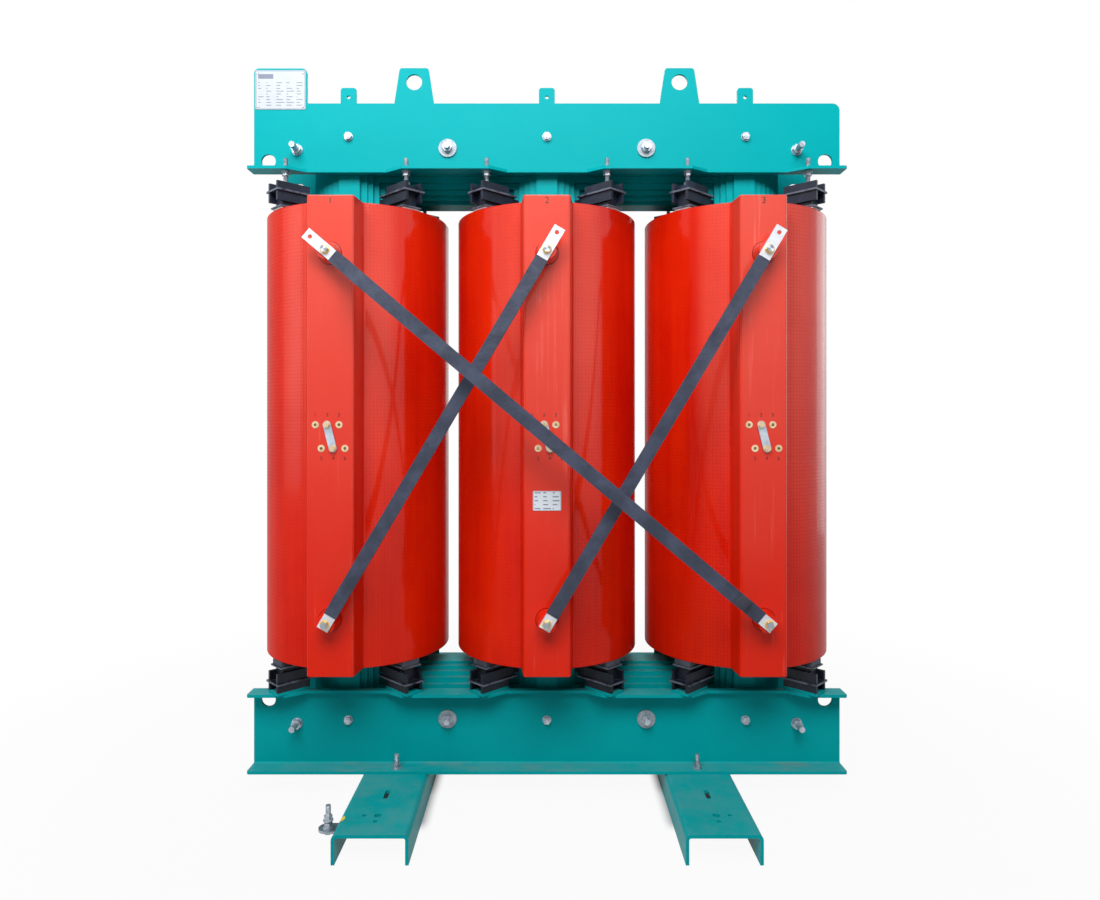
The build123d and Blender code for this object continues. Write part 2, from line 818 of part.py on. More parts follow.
with BuildPart() as tap_inserts:
    with BuildSketch(Plane.XZ.offset(ridge_front + tap_insert_proud)):
        for x in limb_x:
            with Locations(*tap_points(x)):
                Circle(tap_insert_diameter / 2)
    extrude(amount=-tap_insert_length)
    for x in limb_x:
        drill(Plane.XZ.offset(ridge_front + tap_insert_proud), tap_points(x), tap_insert_bore, tap_insert_length - 4)
hand_in(tap_inserts, "tap_inserts")

link_rise = tap_upper_z - tap_lower_z
link_turn = math.degrees(math.atan2(-link_rise, tap_row_shift))
link_face = ridge_front + tap_insert_proud
linked = [(x - tap_row_shift / 2, tap_upper_z) for x in limb_x] + [(x + tap_row_shift / 2, tap_lower_z) for x in limb_x]
with BuildPart() as tap_links:
    with BuildSketch(Plane.XZ.offset(link_face)):
        with Locations(*[(x, (tap_upper_z + tap_lower_z) / 2) for x in limb_x]):
            SlotCenterToCenter(math.hypot(link_rise, tap_row_shift), tap_link_width, rotation=link_turn)
        with Locations(*linked):
            Circle((tap_bolt_diameter + bolt_clearance) / 2, mode=Mode.SUBTRACT)
    extrude(amount=tap_link_thickness)
hand_in(tap_links, "tap_links")

with BuildPart() as tap_bolt:
    disc(Plane.XY.offset(-tap_link_thickness - tap_bolt_grip), tap_bolt_diameter, tap_link_thickness + tap_bolt_grip)
    disc(Plane.XY, tap_washer_diameter, tap_washer_thickness)
    hex_prism(Plane.XY.offset(tap_washer_thickness), tap_head_flats, tap_head_height)
with BuildPart() as tap_link_bolts:
    with Locations(*[Location((x, -link_face - tap_link_thickness, z), facing(1)) for x, z in linked]):
        add(tap_bolt.part)
hand_in(tap_link_bolts, "tap_link_bolts")

terminals = [(x, z) for x in limb_x for z in (terminal_z_top, terminal_z_bottom)]
with BuildPart() as terminal_inserts:
    with BuildSketch(Plane.XZ.offset(boss_tip)):
        with Locations(*terminals):
            Circle(terminal_insert_diameter / 2)
    extrude(amount=-terminal_insert_length)
    drill(Plane.XZ.offset(boss_tip), terminals, terminal_bolt_diameter, terminal_insert_length - 4)
hand_in(terminal_inserts, "hv_terminal_inserts")

with BuildPart() as terminal_bolt:
    disc(Plane.XY.offset(-bar_thickness - terminal_bolt_grip), terminal_bolt_diameter, bar_thickness + terminal_bolt_grip)
    disc(Plane.XY, terminal_washer_diameter, terminal_washer_thickness)
    hex_prism(Plane.XY.offset(terminal_washer_thickness), terminal_head_flats, terminal_head_height)
with BuildPart() as terminal_bolts:
    with Locations(*[Location((x, -boss_tip - bar_thickness, z), facing(1)) for x, z in terminals]):
        add(terminal_bolt.part)
hand_in(terminal_bolts, "hv_terminal_bolts")

with BuildPart() as tap_label:
    with BuildSketch(Plane.XZ.offset(ridge_front)):
        with Locations((0, label_z)):
            RectangleRounded(label_width, label_height, 3)
    extrude(amount=label_thickness)
hand_in(tap_label, "tap_label")


# ---- delta bars from the top of one coil to the foot of the next ----
def bar_axes(x_top, x_bottom):
    """Length between terminals and the frame along the bar: x down it, y out of the front."""
    drop = terminal_z_bottom - terminal_z_top
    length = math.hypot(x_bottom - x_top, drop)
    along = ((x_bottom - x_top) / length, 0, drop / length)
    return length, Plane(origin=(x_top, -boss_tip, terminal_z_top), x_dir=along, z_dir=(along[2], 0, -along[0]))


def bar_route(length, start, end, joggled):
    """Centre line of a bar or sleeve from start to end, stepped forward in the middle if asked."""
    mid = bar_thickness / 2
    if not joggled:
        return [(start, mid), (end, mid)]
    return [
        (start, mid),
        (bar_bend_at, mid),
        (bar_bend_at + bar_joggle, mid + bar_joggle),
        (length - bar_bend_at - bar_joggle, mid + bar_joggle),
        (length - bar_bend_at, mid),
        (end, mid),
    ]


def strip_along(frame, route, width, thickness, mode=Mode.ADD):
    """Sweep a flat section down a route laid out in the given frame."""
    with BuildLine(frame) as path:
        if len(route) == 2:
            Line(*route)
        else:
            FilletPolyline(*route, radius=bar_bend_radius)
    start = path.line @ 0
    with BuildSketch(Plane(origin=start, x_dir=frame.z_dir, z_dir=path.line % 0)) as section:
        Rectangle(width, thickness)
    sweep(section.sketch, path=path.line, mode=mode)


def delta_bar(x_top, x_bottom, joggled):
    """Bare bar with a cable hole beyond its top terminal."""
    length, frame = bar_axes(x_top, x_bottom)
    with BuildPart() as bar:
        strip_along(frame, bar_route(length, -bar_end_beyond, length + bar_tail_beyond, joggled), bar_width, bar_thickness)
        bolts = [(x_top, terminal_z_top), (x_bottom, terminal_z_bottom)]
        drill(Plane.XZ.offset(boss_tip), bolts, terminal_bolt_diameter + bolt_clearance, bar_drill_depth)
        hole = frame.from_local_coords((-bar_cable_hole_at, 0, 0))
        drill(Plane.XZ.offset(boss_tip), [(hole.X, hole.Z)], bar_cable_hole, bar_drill_depth)
    return bar


def delta_sleeve(x_top, x_bottom, joggled, wall):
    """Heat shrunk sleeve round the bar, stopping short of both terminals."""
    length, frame = bar_axes(x_top, x_bottom)
    route = bar_route(length, sleeve_start, length - sleeve_end, joggled)
    with BuildPart() as sleeve:
        strip_along(frame, route, bar_width + 2 * wall, bar_thickness + 2 * wall)
        strip_along(frame, route, bar_width, bar_thickness, mode=Mode.SUBTRACT)
    return sleeve


for name, x_top, x_bottom, joggled, wall in (
    ("long", -phase_pitch, phase_pitch, True, long_sleeve_wall),
    ("left", 0, -phase_pitch, False, sleeve_wall),
    ("right", phase_pitch, 0, False, sleeve_wall),
):
    hand_in(delta_bar(x_top, x_bottom, joggled), "delta_bar_" + name)
    hand_in(delta_sleeve(x_top, x_bottom, joggled, wall), "delta_sleeve_" + name)


# ---- moulded support blocks, one moulding used at the foot and turned over at the top ----
def slab(inner, outer, width, low, high, mode=Mode.ADD):
    """A flat length of the moulding between two radii and two levels."""
    with BuildSketch(Plane.XY.offset(low)) as footprint:
        with Locations(((inner + outer) / 2, 0)):
            Rectangle(outer - inner, width)
    extrude(footprint.sketch, amount=high - low, mode=mode)


with BuildPart() as block:
    plate_low = block_far_rail_height
    plate_high = plate_low + block_plate_thickness
    cap_low = plate_high + block_riser_height
    slot_width = block_rail_width - 2 * block_rail_wall
    slab(block_rail_inner, block_rail_outer, block_rail_width, 0, plate_low)
    slab(block_rail_inner + block_rail_wall, block_rail_outer, slot_width, 0, plate_low, Mode.SUBTRACT)
    seat_inner = stud_radius_from_axis - block_seat_length / 2
    slab(seat_inner, seat_inner + block_seat_length, slot_width, plate_low - block_seat_height, plate_low)
    slab(block_inner, block_plate_outer, block_plate_width, plate_low, plate_high)
    slab(block_inner + 10, block_rail_outer, block_rail_width, plate_high, plate_high + block_near_rail_height)
    slab(block_inner + 10, block_rail_outer, slot_width, plate_high, plate_high + block_near_rail_height, Mode.SUBTRACT)
    slab(block_riser_inner, block_riser_outer, block_riser_width, plate_high, cap_low)
    slab(block_riser_inner, block_cap_outer, block_cap_width, cap_low, cap_low + block_cap_thickness)
with BuildPart() as block_over:
    add(block.part)
    mirror(about=Plane.XY, mode=Mode.REPLACE)


def around_limbs(piece, z):
    """Set a piece on the four diagonals of every limb."""
    with BuildPart() as group:
        with Locations(*[Location((x, 0, z), (0, 0, 45 + 90 * n)) for x in limb_x for n in range(4)]):
            add(piece.part)
    return group


with BuildPart() as top_pad:
    slab(pad_inner, pad_outer, pad_width, 0, top_pad_thickness)
with BuildPart() as bottom_pad:
    slab(pad_inner, pad_outer, pad_width, 0, bottom_pad_thickness)
with BuildPart() as foot_spacer:
    slab(block_rail_inner, block_rail_outer, block_rail_width, 0, foot_spacer_thickness)
hand_in(around_limbs(foot_spacer, bottom_clamp_top), "support_spacers_bottom")
hand_in(around_limbs(block, block_foot_z), "support_blocks_bottom")
hand_in(around_limbs(block_over, top_block_z), "support_blocks_top")
hand_in(around_limbs(bottom_pad, pad_bottom_z), "support_pads_bottom")
hand_in(around_limbs(top_pad, coil_top), "support_pads_top")

with BuildPart() as pressure_stud:
    flange_low = top_clamp_bottom
    flange_high = flange_low + clamp_thickness
    disc(Plane.XY.offset(stud_foot_z), pressure_stud_diameter, pressure_stud_top - stud_foot_z)
    hex_prism(Plane.XY.offset(stud_foot_z), stud_nut_flats, stud_nut_height)
    hex_prism(Plane.XY.offset(flange_low - stud_washer_thickness - stud_nut_height), stud_nut_flats, stud_nut_height)
    disc(Plane.XY.offset(flange_low - stud_washer_thickness), stud_washer_diameter, stud_washer_thickness)
    hex_prism(Plane.XY.offset(flange_high), stud_nut_flats, thin_nut_height)
with BuildPart() as pressure_studs:
    off = pressure_stud_offset
    with Locations(*[(x + a * off, b * off) for x in limb_x for a in (-1, 1) for b in (-1, 1)]):
        add(pressure_stud.part)
hand_in(pressure_studs, "pressure_studs")


# ---- low voltage side at the rear ----
def lv_bar(x):
    """Flat bar rising from the low voltage coil to a four hole pad."""
    with BuildPart() as bar:
        with BuildSketch(Plane.XZ.offset(-lv_bar_y)):
            with Locations((x, (coil_top + lv_bar_top) / 2)):
                Rectangle(lv_bar_width, lv_bar_top - coil_top)
            with Locations(*[(x + s * lv_pad_hole_spacing / 2, z) for s in (-1, 1) for z in lv_pad_holes_z]):
                Circle(lv_pad_hole_diameter / 2, mode=Mode.SUBTRACT)
            with Locations((x, tab_hole_z)):
                Circle((small_bolt_diameter + bolt_clearance) / 2, mode=Mode.SUBTRACT)
        extrude(amount=-lv_bar_thickness)
    return bar


for x, name in zip(limb_x, ("left", "middle", "right")):
    hand_in(lv_bar(x), "lv_bar_" + name)

lead_high = neutral_bar_z + neutral_bar_height / 2
with BuildPart() as lead:
    with BuildLine(Plane.YZ) as lead_path:
        FilletPolyline(
            (lead_foot_y, coil_top),
            (lead_foot_y, coil_top + 14),
            (lead_top_y, coil_top + 14 + (lead_top_y - lead_foot_y)),
            (lead_top_y, lead_high),
            radius=8,
        )
    with BuildSketch(Plane.XY.offset(coil_top)):
        with Locations((0, lead_foot_y)):
            Rectangle(lead_width, lead_thickness)
    sweep(path=lead_path.line)
    drill(Plane.XZ.offset(-lead_top_y), [(0, neutral_bar_z)], small_bolt_diameter + bolt_clearance, 10)
with BuildPart() as neutral_leads:
    with Locations(*[(x + lead_offset, 0) for x in limb_x]):
        add(lead.part)
hand_in(neutral_leads, "lv_neutral_leads")

neutral_face = lead_top_y + lead_thickness / 2
neutral_bar_half = phase_pitch + lead_width / 2 + neutral_bar_end
with BuildPart() as neutral_bar:
    with BuildSketch(Plane.XZ.offset(-neutral_face)):
        with Locations((lead_offset, neutral_bar_z)):
            Rectangle(2 * neutral_bar_half, neutral_bar_height)
        with Locations(*[(x + lead_offset, neutral_bar_z) for x in limb_x]):
            Circle((small_bolt_diameter + bolt_clearance) / 2, mode=Mode.SUBTRACT)
        with Locations((lead_offset + neutral_bar_half - neutral_terminal_inset, neutral_bar_z)):
            Circle(neutral_terminal_hole / 2, mode=Mode.SUBTRACT)
    extrude(amount=-neutral_bar_thickness)
hand_in(neutral_bar, "lv_neutral_bar")

with BuildPart() as insulator:
    disc(Plane.XY, insulator_diameter, insulator_flange)
    disc(Plane.XY.offset(insulator_flange), insulator_waist_diameter, insulator_length - 2 * insulator_flange)
    disc(Plane.XY.offset(insulator_length - insulator_flange), insulator_diameter, insulator_flange)
    drill(Plane.XY, [(0, 0)], small_bolt_diameter, 12)
    drill(Plane.XY.offset(insulator_length), [(0, 0)], small_bolt_diameter, 12)
with BuildPart() as lv_insulators:
    with Locations(*[Location((x, web_outer, tab_hole_z), facing(-1)) for x in limb_x]):
        add(insulator.part)
hand_in(lv_insulators, "lv_insulators")

with BuildPart() as bar_bolt:
    bar_face = lv_bar_y + lv_bar_thickness
    disc(Plane.XY.offset(lv_bar_y - small_bolt_grip), small_bolt_diameter, lv_bar_thickness + small_bolt_grip)
    disc(Plane.XY.offset(bar_face), small_washer_diameter, small_washer_thickness)
    hex_prism(Plane.XY.offset(bar_face + small_washer_thickness), small_nut_flats, small_head_height)
with BuildPart() as tab_bolt:
    head_face = web_inner - small_washer_thickness
    disc(Plane.XY.offset(head_face), small_bolt_diameter - tab_bolt_slack, web_outer + small_bolt_grip - head_face)
    disc(Plane.XY.offset(head_face), small_washer_diameter, small_washer_thickness)
    hex_prism(Plane.XY.offset(head_face - small_head_height), small_nut_flats, small_head_height)
with BuildPart() as neutral_bolt:
    grip_low = lead_top_y - lead_thickness / 2
    grip_high = neutral_face + neutral_bar_thickness
    neutral_shank = grip_high - grip_low + small_nut_height + 2 * small_washer_thickness
    disc(Plane.XY.offset(grip_low - small_nut_height - small_washer_thickness), small_bolt_diameter, neutral_shank)
    hex_prism(Plane.XY.offset(grip_low - small_nut_height), small_nut_flats, small_nut_height)
    disc(Plane.XY.offset(grip_high), small_washer_diameter, small_washer_thickness)
    hex_prism(Plane.XY.offset(grip_high + small_washer_thickness), small_nut_flats, small_head_height)
with BuildPart() as lv_bar_bolts:
    with Locations(*[Location((x, 0, tab_hole_z), facing(-1)) for x in limb_x]):
        add(bar_bolt.part)
        add(tab_bolt.part)
    with Locations(*[Location((x + lead_offset, 0, neutral_bar_z), facing(-1)) for x in limb_x]):
        add(neutral_bolt.part)
hand_in(lv_bar_bolts, "lv_bar_bolts")

# ---- rating plate on its bracket ----
with BuildPart() as rating_plate:
    with BuildSketch(Plane.XZ.offset(web_outer)):
        with Locations((bracket_x, rating_z)):
            RectangleRounded(rating_width, rating_height, 4)
    extrude(amount=rating_thickness)
hand_in(rating_plate, "rating_plate")

rivet_x = rating_width / 2 - rivet_inset
rivet_z = rating_height / 2 - rivet_inset
rivets = [(bracket_x + a * rivet_x, rating_z + b * rivet_z) for a in (-1, 1) for b in (-1, 1)]
with BuildPart() as rating_rivets:
    with BuildSketch(Plane.XZ.offset(web_outer + rating_thickness)):
        with Locations(*rivets):
            Circle(rivet_diameter / 2)
    extrude(amount=1.6, taper=30)
hand_in(rating_rivets, "rating_plate_rivets")
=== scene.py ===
# %% [markdown]
# # A dry type transformer, dressed
#
# The part is a three phase dry type transformer: three cast resin coils on a stacked steel
# core, held between folded steel clamps that stand on two channel runners.  The CAD model
# already has every solid in its place, in metres, with the floor at z = 0 and the high
# voltage terminals facing -Y.
#
# This notebook gives the solids their finishes, adds the printed numbers and a dab of paint,
# which are too thin to be worth a solid, and sets up a plain white studio.

import math

import bpy
import numpy as np
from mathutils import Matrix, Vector


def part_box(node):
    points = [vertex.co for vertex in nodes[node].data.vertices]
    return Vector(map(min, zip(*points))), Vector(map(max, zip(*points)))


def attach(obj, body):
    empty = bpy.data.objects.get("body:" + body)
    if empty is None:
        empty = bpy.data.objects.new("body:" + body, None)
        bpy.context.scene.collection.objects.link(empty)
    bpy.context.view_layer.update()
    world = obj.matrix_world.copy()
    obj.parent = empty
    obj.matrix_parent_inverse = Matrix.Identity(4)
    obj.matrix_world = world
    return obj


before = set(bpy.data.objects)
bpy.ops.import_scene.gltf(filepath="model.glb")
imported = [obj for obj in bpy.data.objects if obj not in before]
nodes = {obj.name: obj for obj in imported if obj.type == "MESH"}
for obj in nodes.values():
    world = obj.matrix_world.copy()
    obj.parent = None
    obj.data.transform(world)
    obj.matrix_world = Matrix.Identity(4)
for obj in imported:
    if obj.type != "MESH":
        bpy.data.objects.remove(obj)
scene = bpy.context.scene
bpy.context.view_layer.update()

# %% [markdown]
# ## The places that everything else is measured from
#
# A finish that follows a shape, such as the cloth imprint round a coil, needs the axis of
# that coil.  The axes could be typed in, but then a new pack of the model would leave the
# patterns behind.  So each place comes from the box of a node, less the small sizes of the
# bolt or the insert that stands there.

# %% Coils and ridges
coil_names = ("left", "middle", "right")
coil_boxes = {name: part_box("hv_coil_" + name) for name in coil_names}
coil_axis = {name: (lo.x + hi.x) / 2 for name, (lo, hi) in coil_boxes.items()}
pitch = coil_axis["right"] - coil_axis["middle"]
middle_lo, middle_hi = coil_boxes["middle"]
coil_radius = (middle_hi.x - middle_lo.x) / 2
coil_low = middle_lo.z
coil_high = middle_hi.z
print("pitch", round(pitch, 4), "radius", round(coil_radius, 4))

# %% Taps and terminals on the ridges
tap_insert_radius = 0.009
tap_insert_proud = 0.001
terminal_insert_radius = 0.011
tap_lo, tap_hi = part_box("tap_inserts")
ridge_front = -tap_lo.y - tap_insert_proud
tap_level_high = tap_hi.z - tap_insert_radius
tap_level_low = tap_lo.z + tap_insert_radius
terminal_lo, terminal_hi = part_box("hv_terminal_inserts")
terminal_middle = (terminal_lo.z + terminal_hi.z) / 2
terminal_half = (terminal_hi.z - terminal_lo.z) / 2 - terminal_insert_radius
print("ridge", round(ridge_front, 4), "taps", round(tap_level_low, 4), round(tap_level_high, 4))

# %% [markdown]
# ## Writing shader maths as sums
#
# A node tree for a finish is mostly arithmetic, and arithmetic is hard to read as a list of
# nodes and links.  `Field` wraps one output socket, so that `1 - mask * 0.3` adds the two
# Math nodes it needs.  `NodeTree` makes any node from its type, its settings and what goes
# into its sockets, and `Finish` is the tree of one material with a Principled surface.

# %% A socket that can be added and multiplied
class Field:
    """One output socket.  Sums with numbers or other fields add Math nodes."""

    def __init__(self, owner, socket):
        self.owner = owner
        self.socket = socket

    def maths(self, operation, *others):
        values = dict(enumerate((self,) + others))
        return self.owner.node("ShaderNodeMath", {"operation": operation}, values)

    def __add__(self, other):
        return self.maths("ADD", other)

    def __sub__(self, other):
        return self.maths("SUBTRACT", other)

    def __rsub__(self, other):
        return self.owner.node("ShaderNodeMath", {"operation": "SUBTRACT"}, {0: other, 1: self})

    def __mul__(self, other):
        return self.maths("MULTIPLY", other)

    def __truediv__(self, other):
        return self.maths("DIVIDE", other)

    def __neg__(self):
        return self.maths("MULTIPLY", -1.0)

    __radd__ = __add__
    __rmul__ = __mul__

    def above(self, edge, soft=0.001):
        """0 below the edge, 1 above it, with a smooth step that reaches soft to each side."""
        settings = {"interpolation_type": "SMOOTHSTEP"}
        sockets = {0: self, 1: edge - soft, 2: edge + soft}
        return self.owner.node("ShaderNodeMapRange", settings, sockets)

    def below(self, edge, soft=0.001):
        """1 below the edge, 0 above it."""
        return 1.0 - self.above(edge, soft)

    def between(self, first, last, soft=0.001):
        """1 from the first edge to the last, 0 outside."""
        return self.above(first, soft) * self.below(last, soft)

    def size(self):
        """The value without its sign."""
        return self.maths("ABSOLUTE")

    def root(self):
        return self.maths("SQRT")

    def larger(self, other):
        return self.maths("MAXIMUM", other)

    def wave(self, length):
        """A cosine from -1 to 1 that repeats every length."""
        return (self * (2 * math.pi / length)).maths("COSINE")

    def wrapped(self, length):
        """Distance to the nearest multiple of length, signed."""
        return self - (self / length).maths("ROUND") * length


def distance(a, b):
    """The distance from an axis: the root of a a + b b, for a place that is a and b away from it
    in the two directions across it."""
    return (a * a + b * b).root()


print("a field can:", [name for name, made in vars(Field).items() if callable(made)])


# %% A tree of nodes, and a material made of fields
class NodeTree:
    """Any shader node tree, with one way to add a node."""

    def __init__(self, tree):
        self.tree = tree

    def node(self, kind, settings, sockets, out=0):
        """Any node: its settings first, then a value or a link for each named or numbered socket."""
        made = self.tree.nodes.new(kind)
        for key, value in settings.items():
            setattr(made, key, value)
        for key, value in sockets.items():
            if isinstance(value, Field):
                self.tree.links.new(value.socket, made.inputs[key])
            else:
                made.inputs[key].default_value = value
        return Field(self, made.outputs[out])

    def part_of(self, vector, axis):
        """One component of a vector: "X", "Y" or "Z"."""
        return self.node("ShaderNodeSeparateXYZ", {}, {0: vector}, axis)

    def seen_plainly(self):
        """1 for what the eye sees straight on, in a reflection or through glass, 0 for scattered light."""
        eye = self.node("ShaderNodeLightPath", {}, {}, "Is Camera Ray")
        mirrored = self.node("ShaderNodeLightPath", {}, {}, "Is Glossy Ray")
        through = self.node("ShaderNodeLightPath", {}, {}, "Is Transmission Ray")
        return eye.larger(mirrored).larger(through)


class Finish(NodeTree):
    """One material with a Principled surface, and helpers that feed it."""

    def __init__(self, name, roughness=0.5, metallic=0.0, specular=0.5, coat_roughness=0.1):
        self.material = bpy.data.materials.new(name)
        self.material.use_nodes = True
        super().__init__(self.material.node_tree)
        self.surface = self.tree.nodes["Principled BSDF"]
        self.surface.inputs["Roughness"].default_value = roughness
        self.surface.inputs["Metallic"].default_value = metallic
        self.surface.inputs["Specular IOR Level"].default_value = specular
        self.surface.inputs["Coat Roughness"].default_value = coat_roughness
        self.place = self.node("ShaderNodeTexCoord", {}, {}, "Object")
        self.x = self.part_of(self.place, "X")
        self.y = self.part_of(self.place, "Y")
        self.z = self.part_of(self.place, "Z")
        facing = self.node("ShaderNodeNewGeometry", {}, {}, "Normal")
        self.facing_right = self.part_of(facing, "X")
        self.facing_front = -self.part_of(facing, "Y")
        self.facing_up = self.part_of(facing, "Z")

    def stretched(self, along_x, along_y, along_z):
        """The place, scaled differently along each axis."""
        scale = (along_x, along_y, along_z)
        return self.node("ShaderNodeMapping", {}, {"Vector": self.place, "Scale": scale})

    def noise(self, scale, detail=3.0, roughness=0.55, place=None):
        """Cloudy noise about 0.5, of so many clouds per metre."""
        sockets = {"Vector": place or self.place, "Scale": scale, "Detail": detail, "Roughness": roughness}
        return self.node("ShaderNodeTexNoise", {}, sockets, "Fac")

    def blend(self, first, second, amount):
        """A colour between two colours."""
        settings = {"data_type": "RGBA", "clamp_factor": True}
        return self.node("ShaderNodeMix", settings, {0: amount, 6: first, 7: second}, 2)

    def feed(self, socket, field):
        self.tree.links.new(field.socket, self.surface.inputs[socket])

    def colour(self, field):
        self.feed("Base Color", field)

    def roughness(self, field):
        self.feed("Roughness", field)

    def bump(self, height, distance):
        """Raise the surface by up to distance where the height is 1."""
        sockets = {"Strength": 1.0, "Distance": distance, "Height": height}
        self.feed("Normal", self.node("ShaderNodeBump", {}, sockets, "Normal"))


print("a finish can:", [name for name, made in vars(Finish).items() if callable(made)])


# %% Colours, and giving a finish to nodes
def rgb(red, green, blue):
    """A colour as seen on a screen, 0 to 255, turned into the light it stands for."""
    screen = np.array([red, green, blue]) / 255.0
    light = np.where(screen <= 0.04045, screen / 12.92, ((screen + 0.055) / 1.055) ** 2.4)
    return (*light.tolist(), 1.0)


dressed = []


def dress(finish, *names):
    """Give a finish to CAD nodes."""
    for name in names:
        slots = nodes[name].data.materials
        slots.clear()
        slots.append(finish.material)
    dressed.extend(names)


print("a middle grey of 128 is", round(rgb(128, 128, 128)[0], 3), "of white light")

# %% [markdown]
# ## Enamel on folded steel
#
# Clamps, runners and core are sprayed with a blue green enamel.  Real enamel is never one
# flat colour: it is deeper where it pooled, it has a fine orange peel, and dust settles on
# whatever faces up.  It could be a painted image, but noise on the object's own place needs
# no unwrapping and has no seams.  The core gets a second version, in which a noise drawn out
# into thin sheets shows the edges of its plates.

# %% Enamel of clamps, runners and core
enamel_light = rgb(1, 168, 172)
enamel_deep = rgb(1, 152, 156)
# Painted light: a paler teal for the upper frame, standing in for the stronger light that falls there.
enamel_painted_lit_top = rgb(1, 183, 189)
dust_tint = rgb(140, 136, 128)
lower_flange_level = (0.071, 0.095)
sheets_per_metre = 700.0


def enamel(name, dustiness, stack_lines):
    """Glossy enamel: broad mottling, painted light that makes it paler towards the top, and dust in
    patches on upper faces.
    """
    paint = Finish(name, specular=0.05)
    mottling = paint.noise(2.2, 4.0)
    base = paint.blend(enamel_deep, enamel_light, mottling.above(0.5, 0.25))
    # Painted light: the enamel is blended towards the paler teal above about 1.5 m, as if more light fell
    # on the top.
    base = paint.blend(base, enamel_painted_lit_top, paint.z.above(1.5, 0.6) * 0.75)
    patches = paint.noise(9.0, 6.0, 0.65) + paint.noise(60.0, 3.0) * 0.25
    dust = paint.facing_up.above(0.75, 0.2) * patches.above(0.62, 0.22) * dustiness
    smears = paint.noise(7.0, 6.0, 0.7, paint.stretched(0.4, 1.0, 3.0)).above(0.56, 0.08)
    on_lower_flange = paint.z.between(*lower_flange_level, 0.008) * paint.facing_up.above(0.5, 0.3)
    dust = dust.larger(on_lower_flange * smears * 0.45)
    paint.colour(paint.blend(base, dust_tint, dust))
    paint.roughness(0.34 + dust * 0.4 + paint.noise(14.0, 4.0) * 0.10)
    peel = paint.noise(420.0, 2.0) * 0.25 + paint.noise(35.0, 2.0) * 0.75
    if stack_lines:
        plates = paint.noise(1.0, 2.0, place=paint.stretched(3.0, sheets_per_metre, 3.0))
        edge_on = paint.facing_front.size().below(0.6, 0.2)
        paint.bump(peel * 0.4 + plates * edge_on * 1.2, 0.0012)
    else:
        paint.bump(peel, 0.0006)
    return paint


frame_enamel = enamel("frame_enamel", 0.20, False)
core_enamel = enamel("core_enamel", 0.40, True)
dress(frame_enamel, "clamp_top_front", "clamp_top_rear", "clamp_bottom_front", "clamp_bottom_rear")
dress(frame_enamel, "runner_left", "runner_right", "support_spacers_bottom")
dress(core_enamel, "core_limb_left", "core_limb_middle", "core_limb_right")
dress(core_enamel, "core_yoke_top", "core_yoke_bottom", "tie_plates_front", "tie_plates_rear")
dress(core_enamel, "yoke_insulation_top", "yoke_insulation_bottom")
print("enamel on", len(dressed), "nodes")

# %% [markdown]
# ## Cast resin
#
# The coils are cast in red epoxy inside a mould lined with glass cloth.  The round wall
# keeps a faint square imprint of that cloth, while the terminal ridge comes off a smooth
# plate.  A flat pattern would smear where the wall turns away, so the shader works out the
# angle about the nearest coil axis and turns it into a length along the wall.  A dark ring
# of painted shade goes round the foot of each terminal boss, where the boss meets the ridge.
#
# The resin has a clear gloss.  It is strongest high up and towards the right, where the
# coils mirror the bright room, so the weight of the coat follows height and facing.

# %% Colours and sizes of the resin
resin_light = rgb(232, 42, 4)
resin_deep = rgb(208, 20, 2)
# Painted sheen: a paler pink that stands in for the reflection of the bright room on the upper front of
# the coil wall.
resin_painted_sheen = rgb(232, 88, 70)
resin_imprint = rgb(150, 10, 6)
ridge_low = rgb(222, 34, 6)
# Painted sheen: the pinker ridge colour high up stands in for the reflection of the high lamp.
ridge_painted_sheen_top = rgb(228, 78, 60)
# Painted highlight: pale pink for soft vertical streaks on the ridge.
ridge_painted_highlight_streak = rgb(246, 140, 122)
# Painted shade: a dark red for the ring round the foot of each terminal boss.
painted_shade_tint = rgb(104, 12, 8)
cloth_square = 0.0095
ridge_half_width = 0.067
ridge_begins = coil_radius - 0.012
boss_foot_radius = 0.0293
print("cloth squares round a coil:", round(2 * math.pi * coil_radius / cloth_square))


# %% Red cast resin
def off_limb(finish):
    """Signed distance to the nearest coil axis, left or right."""
    return finish.x.wrapped(pitch)


